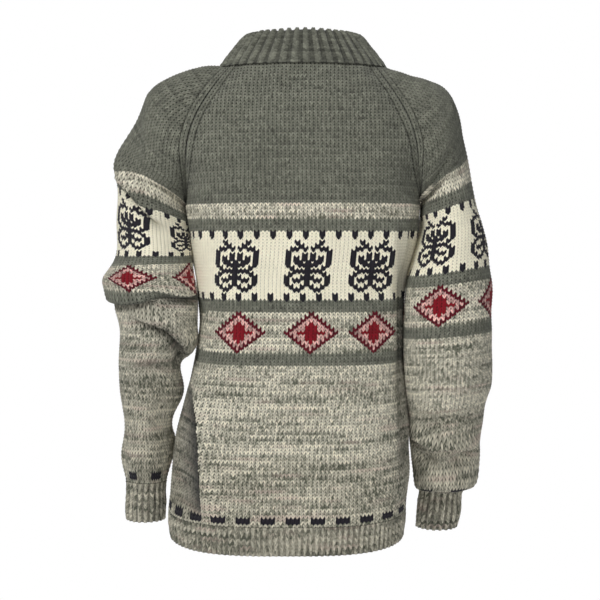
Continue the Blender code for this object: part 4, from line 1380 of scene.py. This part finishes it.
def collar_points(turns, shares, insets):
    """Points of the collar for turns round it and for height shares and insets of its profile."""
    angle = np.radians(turns)
    base = np.array([neck_point(turn) for turn in turns])
    rise = COLLAR_RISE + COLLAR_LEAN * np.sin(angle) - COLLAR_SIDE_DROP * np.cos(angle) ** 2
    top = np.stack([
        COLLAR_TOP_CENTRE[0] + COLLAR_TOP_HALF_WIDTH * np.cos(angle),
        COLLAR_TOP_CENTRE[1] + COLLAR_TOP_HALF_DEPTH * np.sin(angle),
        base[:, 2] + rise,
    ], 1)
    outwards = np.stack([np.cos(angle), np.sin(angle), np.zeros_like(angle)], 1)
    base = base + (0, 0, SEAM_GAP / 2)
    return base + (top - base) * shares[:, None, None] - outwards * insets[:, None, None]


def collar_profile(lines):
    """The profile's height shares and insets at lines along it; the last line is the first again."""
    profile = np.array(COLLAR_PROFILE)
    metres = profile * (COLLAR_RISE, 1)
    knots = np.concatenate([[0], np.cumsum(np.linalg.norm(np.diff(metres, axis=0), axis=1))])
    smooth = spline(knots, profile, np.linspace(0, knots[-1], lines - 1))
    smooth = np.concatenate([smooth, smooth[:1]])
    return smooth[:, 0], smooth[:, 1], knots[-1]


# %% Knit the collar
def knit_collar(seed):
    """The folded rib collar, closed round the neck and along its sewn-down edge."""
    rng = np.random.default_rng(seed)
    stitches, rows = COLLAR_STITCHES, COLLAR_ROWS
    shares, insets, length = collar_profile(GRID_ROWS * rows + 1)
    turns = np.linspace(0, 360, COLLAR_FORM_COLUMNS)
    form = collar_points(turns, shares, insets)
    across, along = slopes(form, np.full(len(form), True))
    normals = unit(np.cross(across, along))
    places = grid_places(stitches, True) + stitches / 2
    read = places / stitches * (COLLAR_FORM_COLUMNS - 1)
    low = np.clip(read.astype(int), 0, COLLAR_FORM_COLUMNS - 2)
    far = (read - low)[None, :, None]

    def read_round(grid):
        return grid[:, low] * (1 - far) + grid[:, low + 1] * far

    climb = climbs(rows, stitches, True)[..., None] * length / rows
    height = relief(rows, stitches, True, (0,), rng)[..., None] * COLLAR_RELIEF
    outer = read_round(form) + unit(read_round(normals)) * height + unit(read_round(along)) * climb
    outer[-1] = outer[0]
    outer[:, -1] = outer[:, 0]
    chart = np.full((rows, stitches), SAGE)
    piece = knit_ring("collar_rib", outer, paint_yarns(chart, seed, COLLAR_GROOVE_SHADE))
    rounds = row_length(form)
    dress(piece, "collar", rib_wool, float(rounds[0]), length, float(rounds[:-1].mean() * length))


def knit_ring(name, outer, yarns):
    """A piece whose grid closes on itself both ways, so it needs no inside or rim."""
    rows, stitches = yarns.shape[0] // GRID_ROWS, yarns.shape[1] // GRID_COLUMNS
    shape = bmesh.new()
    stitch_grid(shape, rows, stitches)
    mesh = as_mesh(name, shape)
    mesh.vertices.foreach_set("co", outer.astype(np.float32).ravel())
    numbers = stitch_numbers(rows, stitches)[read_whole(mesh.loops, "vertex_index")]
    face_of_corner = np.arange(len(numbers)) // 4
    bake = BAKE_EDGE + (1 - 2 * BAKE_EDGE) * numbers[:, ::-1] / (stitches, rows)
    return finished_piece(name, mesh, numbers, bake, face_of_corner, yarns)


knit_collar(25)

# %% [markdown]
# ## Studio
# Soft light comes from a key lamp above the camera on its left and a wide, weak one below it, and
# a dim pale room fills the shadows. A third lamp lights the front, which this camera doesn't see.
# The background is white to the camera only, so it adds no light of its own.

# %% Floor and room
FLOOR_HEIGHT = -1.45
FLOOR_SIZE = 4.6
FLOOR_COLOUR, FLOOR_ROUGHNESS = (0.85, 0.85, 0.85, 1), 0.8
FLOOR_WHITE = 0.7            # how much of the floor's shading gives way to white for the camera
ROOM_COLOUR = (0.93, 0.95, 1.0, 1.0)
ROOM_STRENGTH = 0.20


def seen_white(paint, shaded, plain, share):
    """Mix a shader with plain white for rays that come from the camera, a mirror or glass."""
    path = paint.node("ShaderNodeLightPath", {}, {}).outputs
    mirrored = Value(paint, path["Is Glossy Ray"]) + Value(paint, path["Is Transmission Ray"])
    seen = paint.node("ShaderNodeMath", {"operation": "ADD", "use_clamp": True},
                      {0: path["Is Camera Ray"], 1: mirrored})
    part = Value(paint, seen.outputs[0]) * share
    white = paint.node(plain, {}, {"Color": (1, 1, 1, 1), "Strength": 1})
    mix = paint.node("ShaderNodeMixShader", {}, {0: part, 1: shaded, 2: white.outputs[0]})
    return mix.outputs[0]


def white_room():
    """A world that lights softly and looks white."""
    world = bpy.data.worlds.new("studio room")
    paint = Paint(world)
    room = paint.tree.nodes["Background"]
    paint.feed(room.inputs["Color"], ROOM_COLOUR)
    paint.feed(room.inputs["Strength"], ROOM_STRENGTH)
    seen = seen_white(paint, room.outputs[0], "ShaderNodeBackground", 1.0)
    paint.feed(paint.tree.nodes["World Output"].inputs["Surface"], seen)
    bpy.context.scene.world = world


def pale_floor():
    """A wide floor below the hanging sweater."""
    shape = bmesh.new()
    bmesh.ops.create_grid(shape, x_segments=1, y_segments=1, size=FLOOR_SIZE / 2)
    bmesh.ops.translate(shape, verts=shape.verts[:], vec=(0, 0, FLOOR_HEIGHT))
    floor = put_in_scene("floor", as_mesh("floor", shape))
    material = bpy.data.materials.new("pale floor")
    paint = Paint(material)
    shader = paint.tree.nodes["Principled BSDF"]
    paint.feed(shader.inputs["Base Color"], FLOOR_COLOUR)
    paint.feed(shader.inputs["Roughness"], FLOOR_ROUGHNESS)
    seen = seen_white(paint, shader.outputs[0], "ShaderNodeEmission", FLOOR_WHITE)
    paint.feed(paint.tree.nodes["Material Output"].inputs["Surface"], seen)
    floor.data.materials.append(material)


white_room()
pale_floor()
print(f"floor: {FLOOR_SIZE} m wide, {-FLOOR_HEIGHT} m below the neckline")

# %% Lamps
# name, place, watts, size in metres
LAMPS = [
    ("key lamp", (1.2, 2.2, 1.6), 51, 0.8),
    ("fill lamp", (-0.5, 2.6, -0.6), 17, 1.4),
    ("front lamp", (0.0, -2.7, 0.8), 34, 1.6),
]
LAMP_TARGET = (0, 0, -0.3)


def aim(thing, target):
    """Turn a lamp or camera so that it looks at a point."""
    direction = np.array(target) - np.array(thing.location)
    thing.rotation_euler = (
        math.atan2(math.hypot(direction[0], direction[1]), -direction[2]),
        0,
        math.atan2(direction[1], direction[0]) - math.pi / 2,
    )


for name, place, watts, size in LAMPS:
    light = bpy.data.lights.new(name, "AREA")
    light.energy = watts
    light.size = size
    lamp = put_in_scene(name, light)
    lamp.location = place
    aim(lamp, LAMP_TARGET)
print("lamps:", ", ".join(name for name, *_ in LAMPS))

# %% Camera behind the wearer
CAMERA_DISTANCE = 1.95
EYE_HEIGHT = -0.238
VIEW_WIDTH = 0.84            # width of the view at the middle of the sweater
VIEW_CENTRE = (0.007, -0.322)
SENSOR = 36.0

lens = bpy.data.cameras.new("camera")
lens.sensor_width = SENSOR
lens.lens = SENSOR * CAMERA_DISTANCE / VIEW_WIDTH
lens.shift_x = -VIEW_CENTRE[0] / VIEW_WIDTH
lens.shift_y = (VIEW_CENTRE[1] - EYE_HEIGHT) / VIEW_WIDTH
camera = put_in_scene("camera", lens)
camera.location = (0, CAMERA_DISTANCE, EYE_HEIGHT)
aim(camera, (0, 0, EYE_HEIGHT))
bpy.context.scene.camera = camera
bpy.context.scene.view_settings.view_transform = "Standard"
print(f"camera: {lens.lens:.0f} mm lens, {CAMERA_DISTANCE} m behind the sweater")
